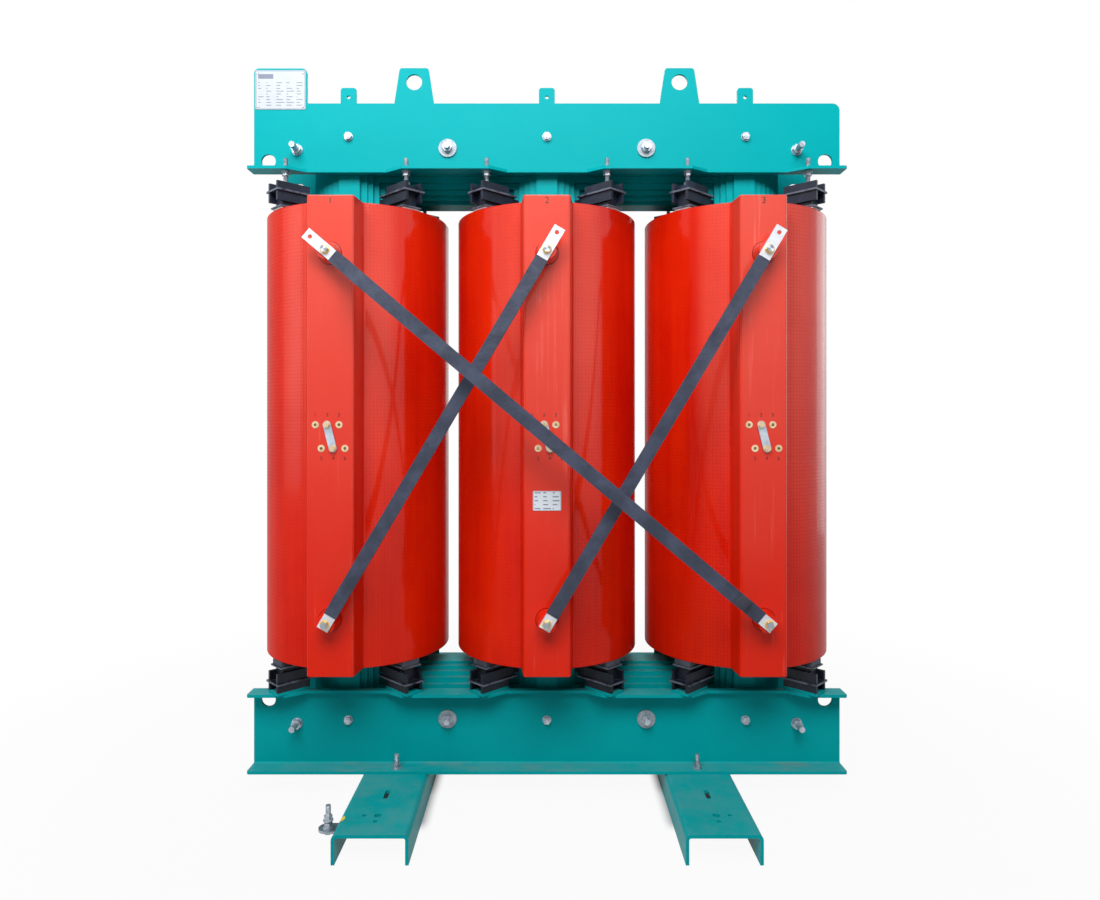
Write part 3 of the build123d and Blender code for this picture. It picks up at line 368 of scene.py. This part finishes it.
def cast_resin(name):
    """Red epoxy: a cloth imprint on the round wall only, painted sheen and highlight streaks high up,
    and a dark ring of painted shade on the ridge round the foot of each terminal boss."""
    resin = Finish(name, coat_roughness=0.12, specular=0.05)
    across = off_limb(resin)
    in_front = -resin.y
    angle = resin.node("ShaderNodeMath", {"operation": "ARCTAN2"}, {0: across, 1: in_front})
    around = angle * coil_radius
    on_ridge = across.size().below(ridge_half_width, 0.004) * in_front.above(ridge_begins, 0.004)
    height = (resin.z - coil_low) / (coil_high - coil_low)
    streaks = resin.noise(1.0, 4.0, 0.6, resin.stretched(16.0, 16.0, 0.9))
    cloud = resin.noise(4.0, 5.0, 0.6)

    thread_upright = around.wave(cloth_square).above(0.90, 0.10)
    thread_level = resin.z.wave(cloth_square).above(0.90, 0.10)
    worn = resin.noise(3.0, 4.0, 0.6, resin.stretched(1.0, 1.0, 0.35)).above(0.5, 0.16)
    imprint = thread_upright.larger(thread_level) * (0.35 + worn * 0.65) * (1.0 - on_ridge)
    # Painted sheen: the upper front of the wall is blended towards a paler pink, less on the sides,
    # standing in for reflected light.
    bloom_and_painted_sheen = height.above(0.50, 0.24) * resin.facing_front.size().above(0.84, 0.05) * (0.50 + cloud * 0.5)
    bloom_and_painted_sheen = bloom_and_painted_sheen * (1.0 - resin.facing_right.size().above(0.08, 0.1) * 0.4)
    wall = resin.blend(resin_deep, resin_light, (streaks * 0.55 + cloud * 0.45).above(0.5, 0.22))
    wall = resin.blend(wall, resin_painted_sheen, bloom_and_painted_sheen)
    wall = resin.blend(wall, resin_imprint, imprint * 0.30)

    # Painted shade: a dark ring round the foot of each terminal boss, standing in for the shade where the
    # boss meets the ridge.
    off_level = (resin.z - terminal_middle).size() - terminal_half
    from_terminal = distance(across, off_level)
    on_front = in_front.below(ridge_front + 0.002, 0.0005)
    painted_shade_ring = (from_terminal - boss_foot_radius).size().below(0.0010, 0.0005) * on_front
    # Painted highlight: soft vertical streaks of pale pink on the ridge, standing in for reflected light.
    painted_highlight_patches = resin.noise(1.0, 5.0, 0.6, resin.stretched(70.0, 70.0, 2.2)).above(0.66, 0.08)
    # Painted sheen: the ridge turns pinker towards the top, as if reflecting the lamp above it.
    ridge = resin.blend(ridge_low, ridge_painted_sheen_top, height.above(0.55, 0.5) * 0.85 + (cloud - 0.5) * 0.3)
    ridge = resin.blend(ridge, ridge_painted_highlight_streak, painted_highlight_patches * cloud.above(0.5, 0.1) * 0.4)
    ridge = resin.blend(ridge, painted_shade_tint, painted_shade_ring * 0.8)

    resin.colour(resin.blend(wall, ridge, on_ridge))
    resin.roughness(0.34 + imprint * 0.18 + streaks * 0.12)
    polish = (0.15 + height.above(0.35, 0.5) * 0.75) * (0.18 + resin.facing_right.above(-0.3, 0.45) * 0.82)
    resin.feed("Coat Weight", polish * (1.0 - imprint * 0.3) * (0.85 + cloud * 0.3))
    resin.bump(cloud * 0.5 + streaks * 0.5 - imprint * 0.35, 0.0012)
    return resin


coil_resin = cast_resin("coil_resin")
dress(coil_resin, *["hv_coil_" + name for name in coil_names])
print("resin nodes in the shader:", len(coil_resin.tree.nodes))

# %% [markdown]
# ## Inner coils
#
# The low voltage coils are wound from foil with layers of insulation and soaked in resin,
# so only their ends show, as fine rings round the limb.  The rings are a cosine of the
# distance from the nearest coil axis, which costs no mesh at all.

# %% Ends of the wound coils
foil_layer = 0.0025
wound_deep = rgb(120, 22, 14)
wound_light = rgb(165, 40, 26)


def wound_edge(name):
    """Resin soaked winding: fine rings round the axis, dull brown red."""
    wound = Finish(name, roughness=0.6)
    rings = distance(off_limb(wound), wound.y).wave(foil_layer) * 0.5 + 0.5
    mottling = wound.noise(12.0, 4.0)
    wound.colour(wound.blend(wound_deep, wound_light, rings * 0.5 + mottling * 0.5))
    wound.bump(rings, 0.0004)
    return wound


dress(wound_edge("wound_edge"), *["lv_coil_" + name for name in coil_names])
print("dressed so far:", len(dressed))

# %% [markdown]
# ## Metals
#
# Bolts are zinc plated steel, a little blue and cloudy.  The bars are bright where they are
# bare, brushed along their length, and the inserts are brass.  A metal could be one flat
# mirror, but plating is never that even, and a perfect mirror of a white room has no shape.
# So each metal blends two tones by a cloudy noise, and a noise drawn out along the grain
# gives fine scratches.  One helper serves all of them, and the threads below use it too.

# %% Plated steel, bare bar and brass
def plating(metal, dull, bright, roughness, grain):
    """Cloudy plating on a metal.  Gives back its fine scratches, for a bump."""
    cloud = metal.noise(60.0, 5.0, 0.6)
    metal.colour(metal.blend(dull, bright, cloud.above(0.5, 0.25)))
    scratches = metal.noise(1.0, 2.0, place=metal.stretched(*grain))
    metal.roughness(roughness + scratches * 0.15 + cloud * 0.08)
    return scratches


def plated(name, dull, bright, roughness, grain, metallic):
    """Metal with cloudy plating and fine scratches."""
    metal = Finish(name, metallic=metallic)
    metal.bump(plating(metal, dull, bright, roughness, grain), 0.0003)
    return metal


# scratches per metre along x, y and z: they run along the axis with the fewest
even_grain = (300.0, 300.0, 300.0)
coarse_grain = (200.0, 200.0, 200.0)
turned_grain = (500.0, 80.0, 500.0)
bar_grain = (60.0, 60.0, 900.0)
link_grain = (900.0, 60.0, 60.0)
zinc = plated("zinc_plating", rgb(126, 136, 148), rgb(182, 190, 198), 0.28, even_grain, 0.85)
brass = plated("turned_brass", rgb(196, 170, 126), rgb(232, 214, 180), 0.26, turned_grain, 0.9)
bare_bar = plated("bare_bar", rgb(204, 208, 216), rgb(224, 227, 234), 0.40, bar_grain, 0.20)
link_plate = plated("link_plate", rgb(160, 170, 184), rgb(192, 202, 212), 0.36, link_grain, 0.7)
dull_zinc = plated("dull_zinc", rgb(118, 128, 138), rgb(164, 172, 180), 0.40, coarse_grain, 0.6)
dress(zinc, "earth_tab", "lv_bar_bolts", "rating_plate_rivets")
dress(brass, "tap_inserts", "hv_terminal_inserts", "tap_link_bolts")
dress(bare_bar, "delta_bar_long", "delta_bar_left", "delta_bar_right")
dress(bare_bar, "lv_bar_left", "lv_bar_middle", "lv_bar_right", "lv_neutral_bar", "lv_neutral_leads")
dress(link_plate, "tap_links")
dress(dull_zinc, "yoke_bolt_washers")
print("dressed so far:", len(dressed))

# %% [markdown]
# ## Threads
#
# The solids have plain round bars, because a cut thread would cost thousands of faces on
# every stud.  A thread is fine enough to be a bump: a cosine along the bar, wherever the
# surface lies within the bar's radius of an axis, so that nuts and washers stay smooth.
# The axes are read from the boxes of the bolts, less half a nut or half a washer.
# A real helix would need the angle about each bar, and at this size nobody can tell it from
# plain rings.

# %% A thread that stays on the bar
m16_radius = 0.008
m12_radius = 0.006
thread_step = 0.002
thread_dull = rgb(132, 142, 154)
thread_bright = rgb(200, 208, 217)


def threaded(name, turned_along, centre_a, centre_b, radius):
    """Zinc plating with a thread on the round bars: grooves only within the radius of an axis.

    The two centres say how far a place is from the axis in the two directions across it.
    """
    metal = Finish(name, metallic=0.60)
    plating(metal, thread_dull, thread_bright, 0.26, even_grain)
    on_bar = distance(centre_a(metal), centre_b(metal)).below(radius + 0.0003, 0.0002)
    groove = getattr(metal, turned_along).wave(thread_step) * on_bar
    metal.bump(groove * 0.5 + metal.noise(300.0, 2.0) * 0.15, 0.0008)
    return metal


def bar_across(name, node, x_axis, radius):
    """Threads for bars that run front to back at one level."""
    lo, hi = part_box(node)
    level = (lo.z + hi.z) / 2
    return threaded(name, "y", x_axis, lambda finish: finish.z - level, radius)


print("threads of", round(thread_step * 1000, 1), "mm on M16 and M12 bars")

# %% Axes of the bolts
# The nut is measured from corner to corner.  The washer of an end rod reaches 1.1 mm further
# than its nut, so that thread lies 1.1 mm outwards of the rod and fades on its inner side.
m16_nut_half = 0.024 / math.sqrt(3)
m12_washer_radius = 0.012
yoke_lo, yoke_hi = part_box("yoke_bolts_top")
yoke_bolt_x = (yoke_hi.x + yoke_lo.x + pitch) / 2
end_rod_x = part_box("end_tie_rods_top")[1].x - m16_nut_half
stud_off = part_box("pressure_studs")[1].y - m12_washer_radius
runner_lo, runner_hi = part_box("runner_right")
runner_axis = (runner_lo.x + runner_hi.x) / 2
runner_bolt_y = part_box("runner_bolts")[1].y - m12_washer_radius
earth_lo, earth_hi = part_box("earth_bolt")
earth_x = (earth_lo.x + earth_hi.x) / 2
earth_y = (earth_lo.y + earth_hi.y) / 2
axes = (yoke_bolt_x, end_rod_x, stud_off, runner_axis, runner_bolt_y, earth_x, earth_y)
print("thread axes:", [round(v, 3) for v in axes])

# %% Threads on the bars
across_bars = {
    "yoke": ("yoke_bolts_", lambda finish: finish.x.size() - yoke_bolt_x, m16_radius),
    "rod": ("end_tie_rods_", lambda finish: finish.x.size() - end_rod_x, m16_radius),
    "tie": ("tie_plate_bolts_", off_limb, m12_radius),
}
for level in ("top", "bottom"):
    for short, (node, x_axis, radius) in across_bars.items():
        dress(bar_across("thread_" + short + "_" + level, node + level, x_axis, radius), node + level)

upright_bars = {
    "press": ("pressure_studs", lambda f: off_limb(f).size() - stud_off, lambda f: f.y.size() - stud_off),
    "runner": ("runner_bolts", lambda f: f.x.size() - runner_axis, lambda f: f.y.size() - runner_bolt_y),
    "earth": ("earth_bolt", lambda f: f.x - earth_x, lambda f: f.y - earth_y),
}
for short, (node, x_axis, y_axis) in upright_bars.items():
    dress(threaded("thread_" + short, "z", x_axis, y_axis, m12_radius), node)
print("dressed so far:", len(dressed))

# %% [markdown]
# ## Terminal bolts
#
# Each terminal has a plated head on a brass washer, and both are in one node.  Two finishes
# on one node would need its faces picked by hand, so one finish splits by distance: zinc
# within the head's radius of the nearest terminal axis, brass outside it.

# %% Head and washer in one finish
terminal_washer_radius = 0.012
terminal_head_radius = 0.0088
turning_step = 0.0022
washer_dull = rgb(206, 168, 96)
washer_bright = rgb(240, 214, 150)
head_dull = rgb(120, 126, 136)
head_bright = rgb(176, 182, 190)


def terminal_bolt(name, node):
    """A zinc plated head on a brass washer, told apart by the distance from the terminal axis."""
    metal = Finish(name, roughness=0.28, metallic=0.85)
    lo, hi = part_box(node)
    half = (hi.z - lo.z) / 2 - terminal_washer_radius
    off_level = (metal.z - (lo.z + hi.z) / 2).size() - half
    from_axis = distance(off_limb(metal), off_level)
    cloud = metal.noise(90.0, 4.0)
    washer = metal.blend(washer_dull, washer_bright, cloud)
    head = metal.blend(head_dull, head_bright, cloud)
    metal.colour(metal.blend(washer, head, from_axis.below(terminal_head_radius, 0.0005)))
    metal.bump(metal.noise(400.0, 2.0) * 0.3 + from_axis.wave(turning_step) * 0.4, 0.0004)
    return metal


dress(terminal_bolt("terminal_bolt", "hv_terminal_bolts"), "hv_terminal_bolts")
print("dressed so far:", len(dressed))

# %% [markdown]
# ## Sleeves, moulded blocks and rubber
#
# The bars wear a shrunk sleeve, dark grey with a soft sheen and slight wrinkles.  The blocks
# that carry the coils are a black glass filled moulding, with painted highlights along the
# edges of its thin plates and pale glints on its flats, with a rubber pad below and a pale
# gasket above.  Flat black would hide every edge, so each plastic blends two tones.  The
# highlights could follow the sharp edges of the mesh, but its triangles are loose, so the
# moulding adds them by level: its plates lie at fixed heights above its foot.

# %% Sleeves, pads and standoffs
def plastic_surface(plastic, deep, light, roughness, wrinkle_scale, wrinkle_depth):
    """A faint bloom and small unevenness.  Gives back the colour, so that more can go on it."""
    bloom_and_painted_sheen = plastic.noise(18.0, 5.0, 0.6)
    plastic.roughness(roughness + bloom_and_painted_sheen * 0.12)
    plastic.bump(plastic.noise(wrinkle_scale, 3.0) + plastic.noise(300.0, 2.0) * 0.2, wrinkle_depth)
    return plastic.blend(deep, light, bloom_and_painted_sheen.above(0.52, 0.2))


def plain_plastic(name, deep, light, roughness, wrinkle_scale, wrinkle_depth):
    """Moulded or shrunk plastic, or rubber."""
    plastic = Finish(name, specular=0.3)
    plastic.colour(plastic_surface(plastic, deep, light, roughness, wrinkle_scale, wrinkle_depth))
    return plastic


sleeve = plain_plastic("shrunk_sleeve", rgb(48, 54, 70), rgb(68, 76, 96), 0.42, 40.0, 0.002)
rubber = plain_plastic("grey_rubber", rgb(58, 66, 76), rgb(88, 96, 108), 0.62, 90.0, 0.0006)
standoff = plain_plastic("standoff_resin", rgb(120, 20, 12), rgb(150, 34, 20), 0.4, 60.0, 0.0006)
gasket = plain_plastic("pale_gasket", rgb(222, 226, 232), rgb(238, 241, 244), 0.6, 90.0, 0.0004)
dress(sleeve, "delta_sleeve_long", "delta_sleeve_left", "delta_sleeve_right")
dress(rubber, "support_pads_bottom")
dress(standoff, "lv_insulators")
dress(gasket, "support_pads_top")
print("dressed so far:", len(dressed))

# %% Moulded support blocks
block_height = 0.068
block_plate_level = 0.0235
block_cap_level = block_height - 0.002
# Painted highlight: a pale grey for the plate edges and for glints on the flats.
block_painted_highlight = rgb(112, 120, 136)


def block_moulding(name, node, plate_at, cap_at, deep, light):
    """Black moulding with painted highlights: paler edges on its thin plates and pale glints on its flats.
    """
    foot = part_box(node)[0].z
    block = Finish(name, specular=0.3)
    base = plastic_surface(block, deep, light, 0.36, 60.0, 0.0008)
    # Painted highlight: pale lines along the edges of the plate and the cap, broken into patches, and pale
    # glints on the up-facing flats, standing in for light caught there.
    upright = block.facing_up.size().below(0.3, 0.1)
    plate = (block.z - (foot + plate_at)).size().below(0.003, 0.0006)
    cap = (block.z - (foot + cap_at)).size().below(0.0025, 0.0006)
    painted_highlight_patches = block.noise(30.0, 3.0).above(0.42, 0.12)
    edges = plate.larger(cap) * upright * painted_highlight_patches
    painted_glints = block.facing_up.above(0.9, 0.05) * block.noise(150.0, 2.0).above(0.66, 0.03)
    block.colour(block.blend(base, block_painted_highlight, edges.larger(painted_glints) * 0.7))
    return block


# Painted shade: the low blocks take a darker copy of the moulding colours, about 0.6 of the high ones,
# standing in for the shade low in the frame.
shaded_low_blocks = block_moulding(
    "block_moulding_low_shaded",
    "support_blocks_bottom",
    block_plate_level,
    block_cap_level,
    rgb(10, 14, 24),
    rgb(24, 30, 44),
)
high_blocks = block_moulding(
    "block_moulding_high",
    "support_blocks_top",
    block_height - block_plate_level,
    block_height - block_cap_level,
    rgb(20, 27, 42),
    rgb(38, 47, 66),
)
dress(shaded_low_blocks, "support_blocks_bottom")
dress(high_blocks, "support_blocks_top")
print("dressed so far:", len(dressed))

# %% [markdown]
# ## Plates
#
# The rating plate and the small tap label carry only ruled dashes and plain blocks: a
# printed look with nothing to read.  The print could be a mesh of small strips, but a
# shader that divides the node's own box into rows and columns is finer, and white noise,
# which gives each cell one number, makes every dash a length of its own.

# %% Ruled plates
print_dark = rgb(40, 56, 84)
print_band = rgb(40, 60, 110)
plate_border = rgb(120, 134, 150)


def ruled_plate(name, node, rows, columns, head, paper):
    """A pale plate with short dashes in rows and columns, laid out over the node's own box.

    The share u runs across the plate and v up it.  Dashes fill the body, below the head.
    """
    plate = Finish(name, roughness=0.35)
    lo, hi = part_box(node)
    u = (plate.x - lo.x) / (hi.x - lo.x)
    v = (plate.z - lo.z) / (hi.z - lo.z)
    body = u.between(0.06, 0.94, 0.004) * v.between(0.07, head, 0.004)
    row = (v * rows).maths("FRACT")
    column = (u * columns).maths("FRACT")
    cell_place = {0: (u * columns).maths("FLOOR"), 1: (v * rows).maths("FLOOR")}
    cell = plate.node("ShaderNodeCombineXYZ", {}, cell_place)
    spread = plate.node("ShaderNodeTexWhiteNoise", {"noise_dimensions": "2D"}, {"Vector": cell}, "Value")
    long_enough = (column - 0.15).maths("LESS_THAN", spread * 0.75)
    dash = row.between(0.40, 0.66, 0.05) * column.between(0.10, 0.9, 0.02) * long_enough
    band = u.between(0.06, 0.36, 0.004) * v.between(head + 0.06, 0.90, 0.006)
    border = 1.0 - u.between(0.03, 0.97, 0.003) * v.between(0.035, 0.965, 0.003)
    shade = rgb(paper - 8, paper, paper + 10)
    sheen = rgb(paper + 8, paper + 15, paper + 23)
    printed = plate.blend(shade, sheen, plate.noise(30.0, 3.0))
    printed = plate.blend(printed, print_dark, body * dash * 0.8)
    printed = plate.blend(printed, print_band, band * 0.75)
    plate.colour(plate.blend(printed, plate_border, border * 0.5))
    plate.bump(plate.noise(250.0, 2.0), 0.0002)
    return plate


rating_print = ruled_plate("rating_plate_print", "rating_plate", rows=14, columns=5, head=0.72, paper=194)
label_print = ruled_plate("tap_label_print", "tap_label", rows=5, columns=3, head=0.95, paper=222)
dress(rating_print, "rating_plate")
dress(label_print, "tap_label")
print("dressed:", len(dressed), "left bare:", sorted(set(nodes) - set(dressed)))

# %% [markdown]
# ## Numbers on the coils
#
# The six tapping points of a coil are numbered 1 to 6 and the coils 1 to 3, in plain black
# print.  Print could be part of the resin's shader, but figures are hard to write as sums.
# Blender draws them as a text curve that lies flat on the ground.  A finished piece stays
# unturned at the origin, so each text is made into a mesh first, and its points are then set
# upright on the ridge, a hair in front of it.  All of them end up in one piece.

# %% One number as a mesh
ink = Finish("number_ink", roughness=0.5)
ink.colour(ink.blend(rgb(28, 10, 10), rgb(48, 16, 14), ink.noise(200.0, 2.0)))
figure_share = 0.7


def number_mesh(text, height, centre):
    """Points of a text curve, with its x kept, its y turned upright, and its middle at the centre.

    The size of a text is its line height, of which a figure takes up about 0.7.
    """
    curve = bpy.data.curves.new("number", "FONT")
    curve.body = text
    curve.size = height / figure_share
    curve.align_x = "CENTER"
    curve.align_y = "CENTER"
    holder = bpy.data.objects.new("number", curve)
    scene.collection.objects.link(holder)
    bpy.context.view_layer.update()
    mesh = bpy.data.meshes.new_from_object(holder.evaluated_get(bpy.context.evaluated_depsgraph_get()))
    bpy.data.objects.remove(holder)
    flat = np.zeros(len(mesh.vertices) * 3)
    mesh.vertices.foreach_get("co", flat)
    flat = flat.reshape(-1, 3)
    middle = (flat.min(0) + flat.max(0)) / 2
    across = flat[:, 0] - middle[0] + centre[0]
    upward = flat[:, 1] - middle[1] + centre[2]
    points = np.column_stack([across, np.full(len(flat), centre[1]), upward])
    faces = [tuple(polygon.vertices) for polygon in mesh.polygons]
    bpy.data.meshes.remove(mesh)
    return points, faces


print("ink ready, figures are", figure_share, "of the text size")


# %% Join points and faces, and add a piece
def join_meshes(parts):
    """Stack several (points, faces) pairs, shifting the indices of faces by the points before them."""
    points = np.concatenate([part_points for part_points, part_faces in parts])
    counts = [len(part_points) for part_points, part_faces in parts]
    starts = np.cumsum([0] + counts[:-1]).tolist()
    faces = []
    for start, (part_points, part_faces) in zip(starts, parts):
        faces.extend(tuple(index + start for index in face) for face in part_faces)
    return points, faces


def add_piece(name, points, faces, finish, smooth=True):
    """A new mesh object in the object frame, riding with the part."""
    mesh = bpy.data.meshes.new(name)
    mesh.from_pydata(points.tolist(), [], faces)
    mesh.update()
    if smooth:
        mesh.shade_smooth()
    else:
        mesh.shade_flat()
    piece = bpy.data.objects.new(name, mesh)
    scene.collection.objects.link(piece)
    mesh.materials.append(finish.material)
    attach(piece, "root")
    print(name, "has", len(points), "points and", len(faces), "faces")
    return piece


# %% Printed numbers
tap_step = 0.030
tap_row_shift = 0.0075
tap_print_off = 0.025
tap_print_height = 0.009
coil_print_height = 0.016
coil_print_below_top = 0.014
print_y = -ridge_front - 0.0004
numbers = []
for order, name in enumerate(coil_names):
    axis = coil_axis[name]
    coil_place = (axis, print_y, coil_high - coil_print_below_top)
    numbers.append(number_mesh(str(order + 1), coil_print_height, coil_place))
    for column in range(3):
        middle = axis + (column - 1) * tap_step
        upper = (middle - tap_row_shift, print_y, tap_level_high + tap_print_off)
        lower = (middle + tap_row_shift, print_y, tap_level_low - tap_print_off)
        numbers.append(number_mesh(str(2 * column + 1), tap_print_height, upper))
        numbers.append(number_mesh(str(2 * column + 2), tap_print_height, lower))
add_piece("printed_numbers", *join_meshes(numbers), ink, smooth=False)
print("numbers:", len(numbers))

# %% [markdown]
# ## A dab of yellow
#
# A small oval of yellow paint marks the earth terminal, on the shoulder of the left runner.
# The shoulder is a bend, and a flat disc would sink into it or stand off.  So each point of
# the oval is worked out on a circle round the axis of the bend, a hair outside the steel.

# %% Yellow oval on the runner's bend
runner_bend = 0.013
oval_proud = 0.0004
oval_y = -0.425
oval_half_length = 0.012
oval_half_angle = 0.50
oval_middle_angle = 0.42


def bend_oval(radius, axis_x, axis_z, rings=7, spokes=36):
    """An oval laid on a bend, as a fan round one middle point and rings of quads outside it.

    A share t runs outwards from 0 to 1 and a turn s runs round.  The angle about the axis of
    the bend is middle + half angle t cos s, the place along it is middle + half length t sin s.
    """
    t = np.concatenate([[0.0], np.repeat(np.arange(1, rings + 1) / rings, spokes)])
    s = np.concatenate([[0.0], np.tile(np.arange(spokes) * 2 * math.pi / spokes, rings)])
    angle = oval_middle_angle + oval_half_angle * t * np.cos(s)
    along = oval_y + oval_half_length * t * np.sin(s)
    points = np.stack([axis_x - radius * np.sin(angle), along, axis_z + radius * np.cos(angle)], axis=-1)
    here = 1 + np.arange(spokes)
    after = 1 + (np.arange(spokes) + 1) % spokes
    fan = np.stack([np.zeros(spokes, int), after, here], axis=-1)
    step = spokes * np.arange(rings - 1)[:, None]
    quads = np.stack([here + step, after + step, after + step + spokes, here + step + spokes], axis=-1)
    return points, fan.tolist() + quads.reshape(-1, 4).tolist()


yellow = Finish("yellow_mark", roughness=0.45)
yellow.colour(yellow.blend(rgb(214, 196, 40), rgb(240, 228, 96), yellow.noise(240.0, 3.0)))
yellow.bump(yellow.noise(400.0, 2.0), 0.0002)
left_lo, left_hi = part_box("runner_left")
oval = bend_oval(runner_bend + oval_proud, left_lo.x + runner_bend, left_hi.z - runner_bend)
add_piece("earth_mark", *oval, yellow)

# %% [markdown]
# ## Camera
#
# The camera looks level at the front from a little above the middle of the coils.  Tilting it
# would make uprights lean, so a small shift of the lens centres the part instead.  The lens
# is a wide one close up, which shows the tops of low parts and the undersides of high ones.

# %% Camera
camera_data = bpy.data.cameras.new("camera")
camera_data.lens = 25.46
camera_data.sensor_width = 36.0
camera_data.shift_x = 0.0045
camera_data.shift_y = -0.0273
camera = bpy.data.objects.new("camera", camera_data)
camera.location = (-0.005, -2.295, 1.028)
camera.rotation_euler = (math.pi / 2, 0.0, 0.0)
scene.collection.objects.link(camera)
scene.camera = camera
print("camera", [round(v, 3) for v in camera.location], "lens", camera_data.lens)

# %% [markdown]
# ## Lamps
#
# A broad lamp high in front does most of the work, a weaker one lifts the left side, one
# behind on the right gives the last coil its bright edge, and one behind lights the rear.
# Large lamps make soft shadows, as the white walls of a real studio would.

# %% Lamps
def soft_lamp(name, place, aim, size, power):
    """A large area lamp at a place, pointing at an aim."""
    lamp = bpy.data.lights.new(name, "AREA")
    lamp.shape = "RECTANGLE"
    lamp.size = size[0]
    lamp.size_y = size[1]
    lamp.energy = power
    holder = bpy.data.objects.new(name, lamp)
    holder.location = place
    holder.rotation_euler = (Vector(aim) - Vector(place)).to_track_quat("-Z", "Y").to_euler()
    scene.collection.objects.link(holder)
    print(name, "of", power, "W at", place)


soft_lamp("lamp_key", place=(-0.35, -2.75, 3.4), aim=(0.0, 0.0, 1.15), size=(3.0, 1.8), power=144.0)
soft_lamp("lamp_left", place=(-3.0, -0.7, 1.7), aim=(-0.4, 0.0, 1.1), size=(1.4, 2.2), power=19.0)
soft_lamp("lamp_right", place=(3.0, 1.3, 1.5), aim=(0.5, 0.0, 1.0), size=(1.4, 2.4), power=10.0)
soft_lamp("lamp_back", place=(0.0, 2.9, 3.2), aim=(0.0, 0.0, 1.0), size=(3.0, 1.6), power=55.0)

# %% [markdown]
# ## Floor and surroundings
#
# A white floor that is bright enough to look white would also light the part from below
# far too strongly.  So the floor and the world look white to the eye and in reflections,
# and scatter much less light onto the part.  The floor shows a small share of its true
# shading, which holds the shadow of the part, and nearly all of it under the runners.

# %% Floor
floor_half = 30.0
under_runners = 0.33
floor_points = floor_half * np.array([[-1, -1, 0], [1, -1, 0], [1, 1, 0], [-1, 1, 0]])
floor_mesh = bpy.data.meshes.new("floor")
floor_mesh.from_pydata(floor_points.tolist(), [], [(0, 1, 2, 3)])
floor = bpy.data.objects.new("floor", floor_mesh)
scene.collection.objects.link(floor)
floor_finish = Finish("floor_white", roughness=0.9, specular=0.1)
floor_finish.surface.inputs["Base Color"].default_value = (0.5, 0.5, 0.51, 1.0)
white = (1.0, 1.0, 1.0, 1.0)
glow = floor_finish.node("ShaderNodeEmission", {}, {"Color": white, "Strength": 1.0})
far = distance(floor_finish.x, floor_finish.y).above(1.7, 0.7)
beside_runner = (floor_finish.x.size() - runner_axis).size().below(0.10, 0.02)
under_runner = beside_runner * floor_finish.y.between(-under_runners, under_runners, 0.03)
share = (0.94 + far * 0.06) * (1.0 - under_runner * 0.97)
shaded = Field(floor_finish, floor_finish.surface.outputs[0])
amount = floor_finish.seen_plainly() * share
mixed = floor_finish.node("ShaderNodeMixShader", {}, {0: amount, 1: shaded, 2: glow})
output = floor_finish.tree.nodes["Material Output"]
floor_finish.tree.links.new(mixed.socket, output.inputs["Surface"])
floor_mesh.materials.append(floor_finish.material)
print("floor of", 2 * floor_half, "m, runners at", round(runner_axis, 3))

# %% World
world_fill = 0.15
world = bpy.data.worlds.new("surroundings")
world.use_nodes = True
scene.world = world
sky = NodeTree(world.node_tree)
background = sky.tree.nodes["Background"]
background.inputs["Color"].default_value = white
strength = world_fill + sky.seen_plainly() * (1.0 - world_fill)
sky.tree.links.new(strength.socket, background.inputs["Strength"])
scene.view_settings.view_transform = "Standard"
print("world fill", world_fill)

# %% [markdown]
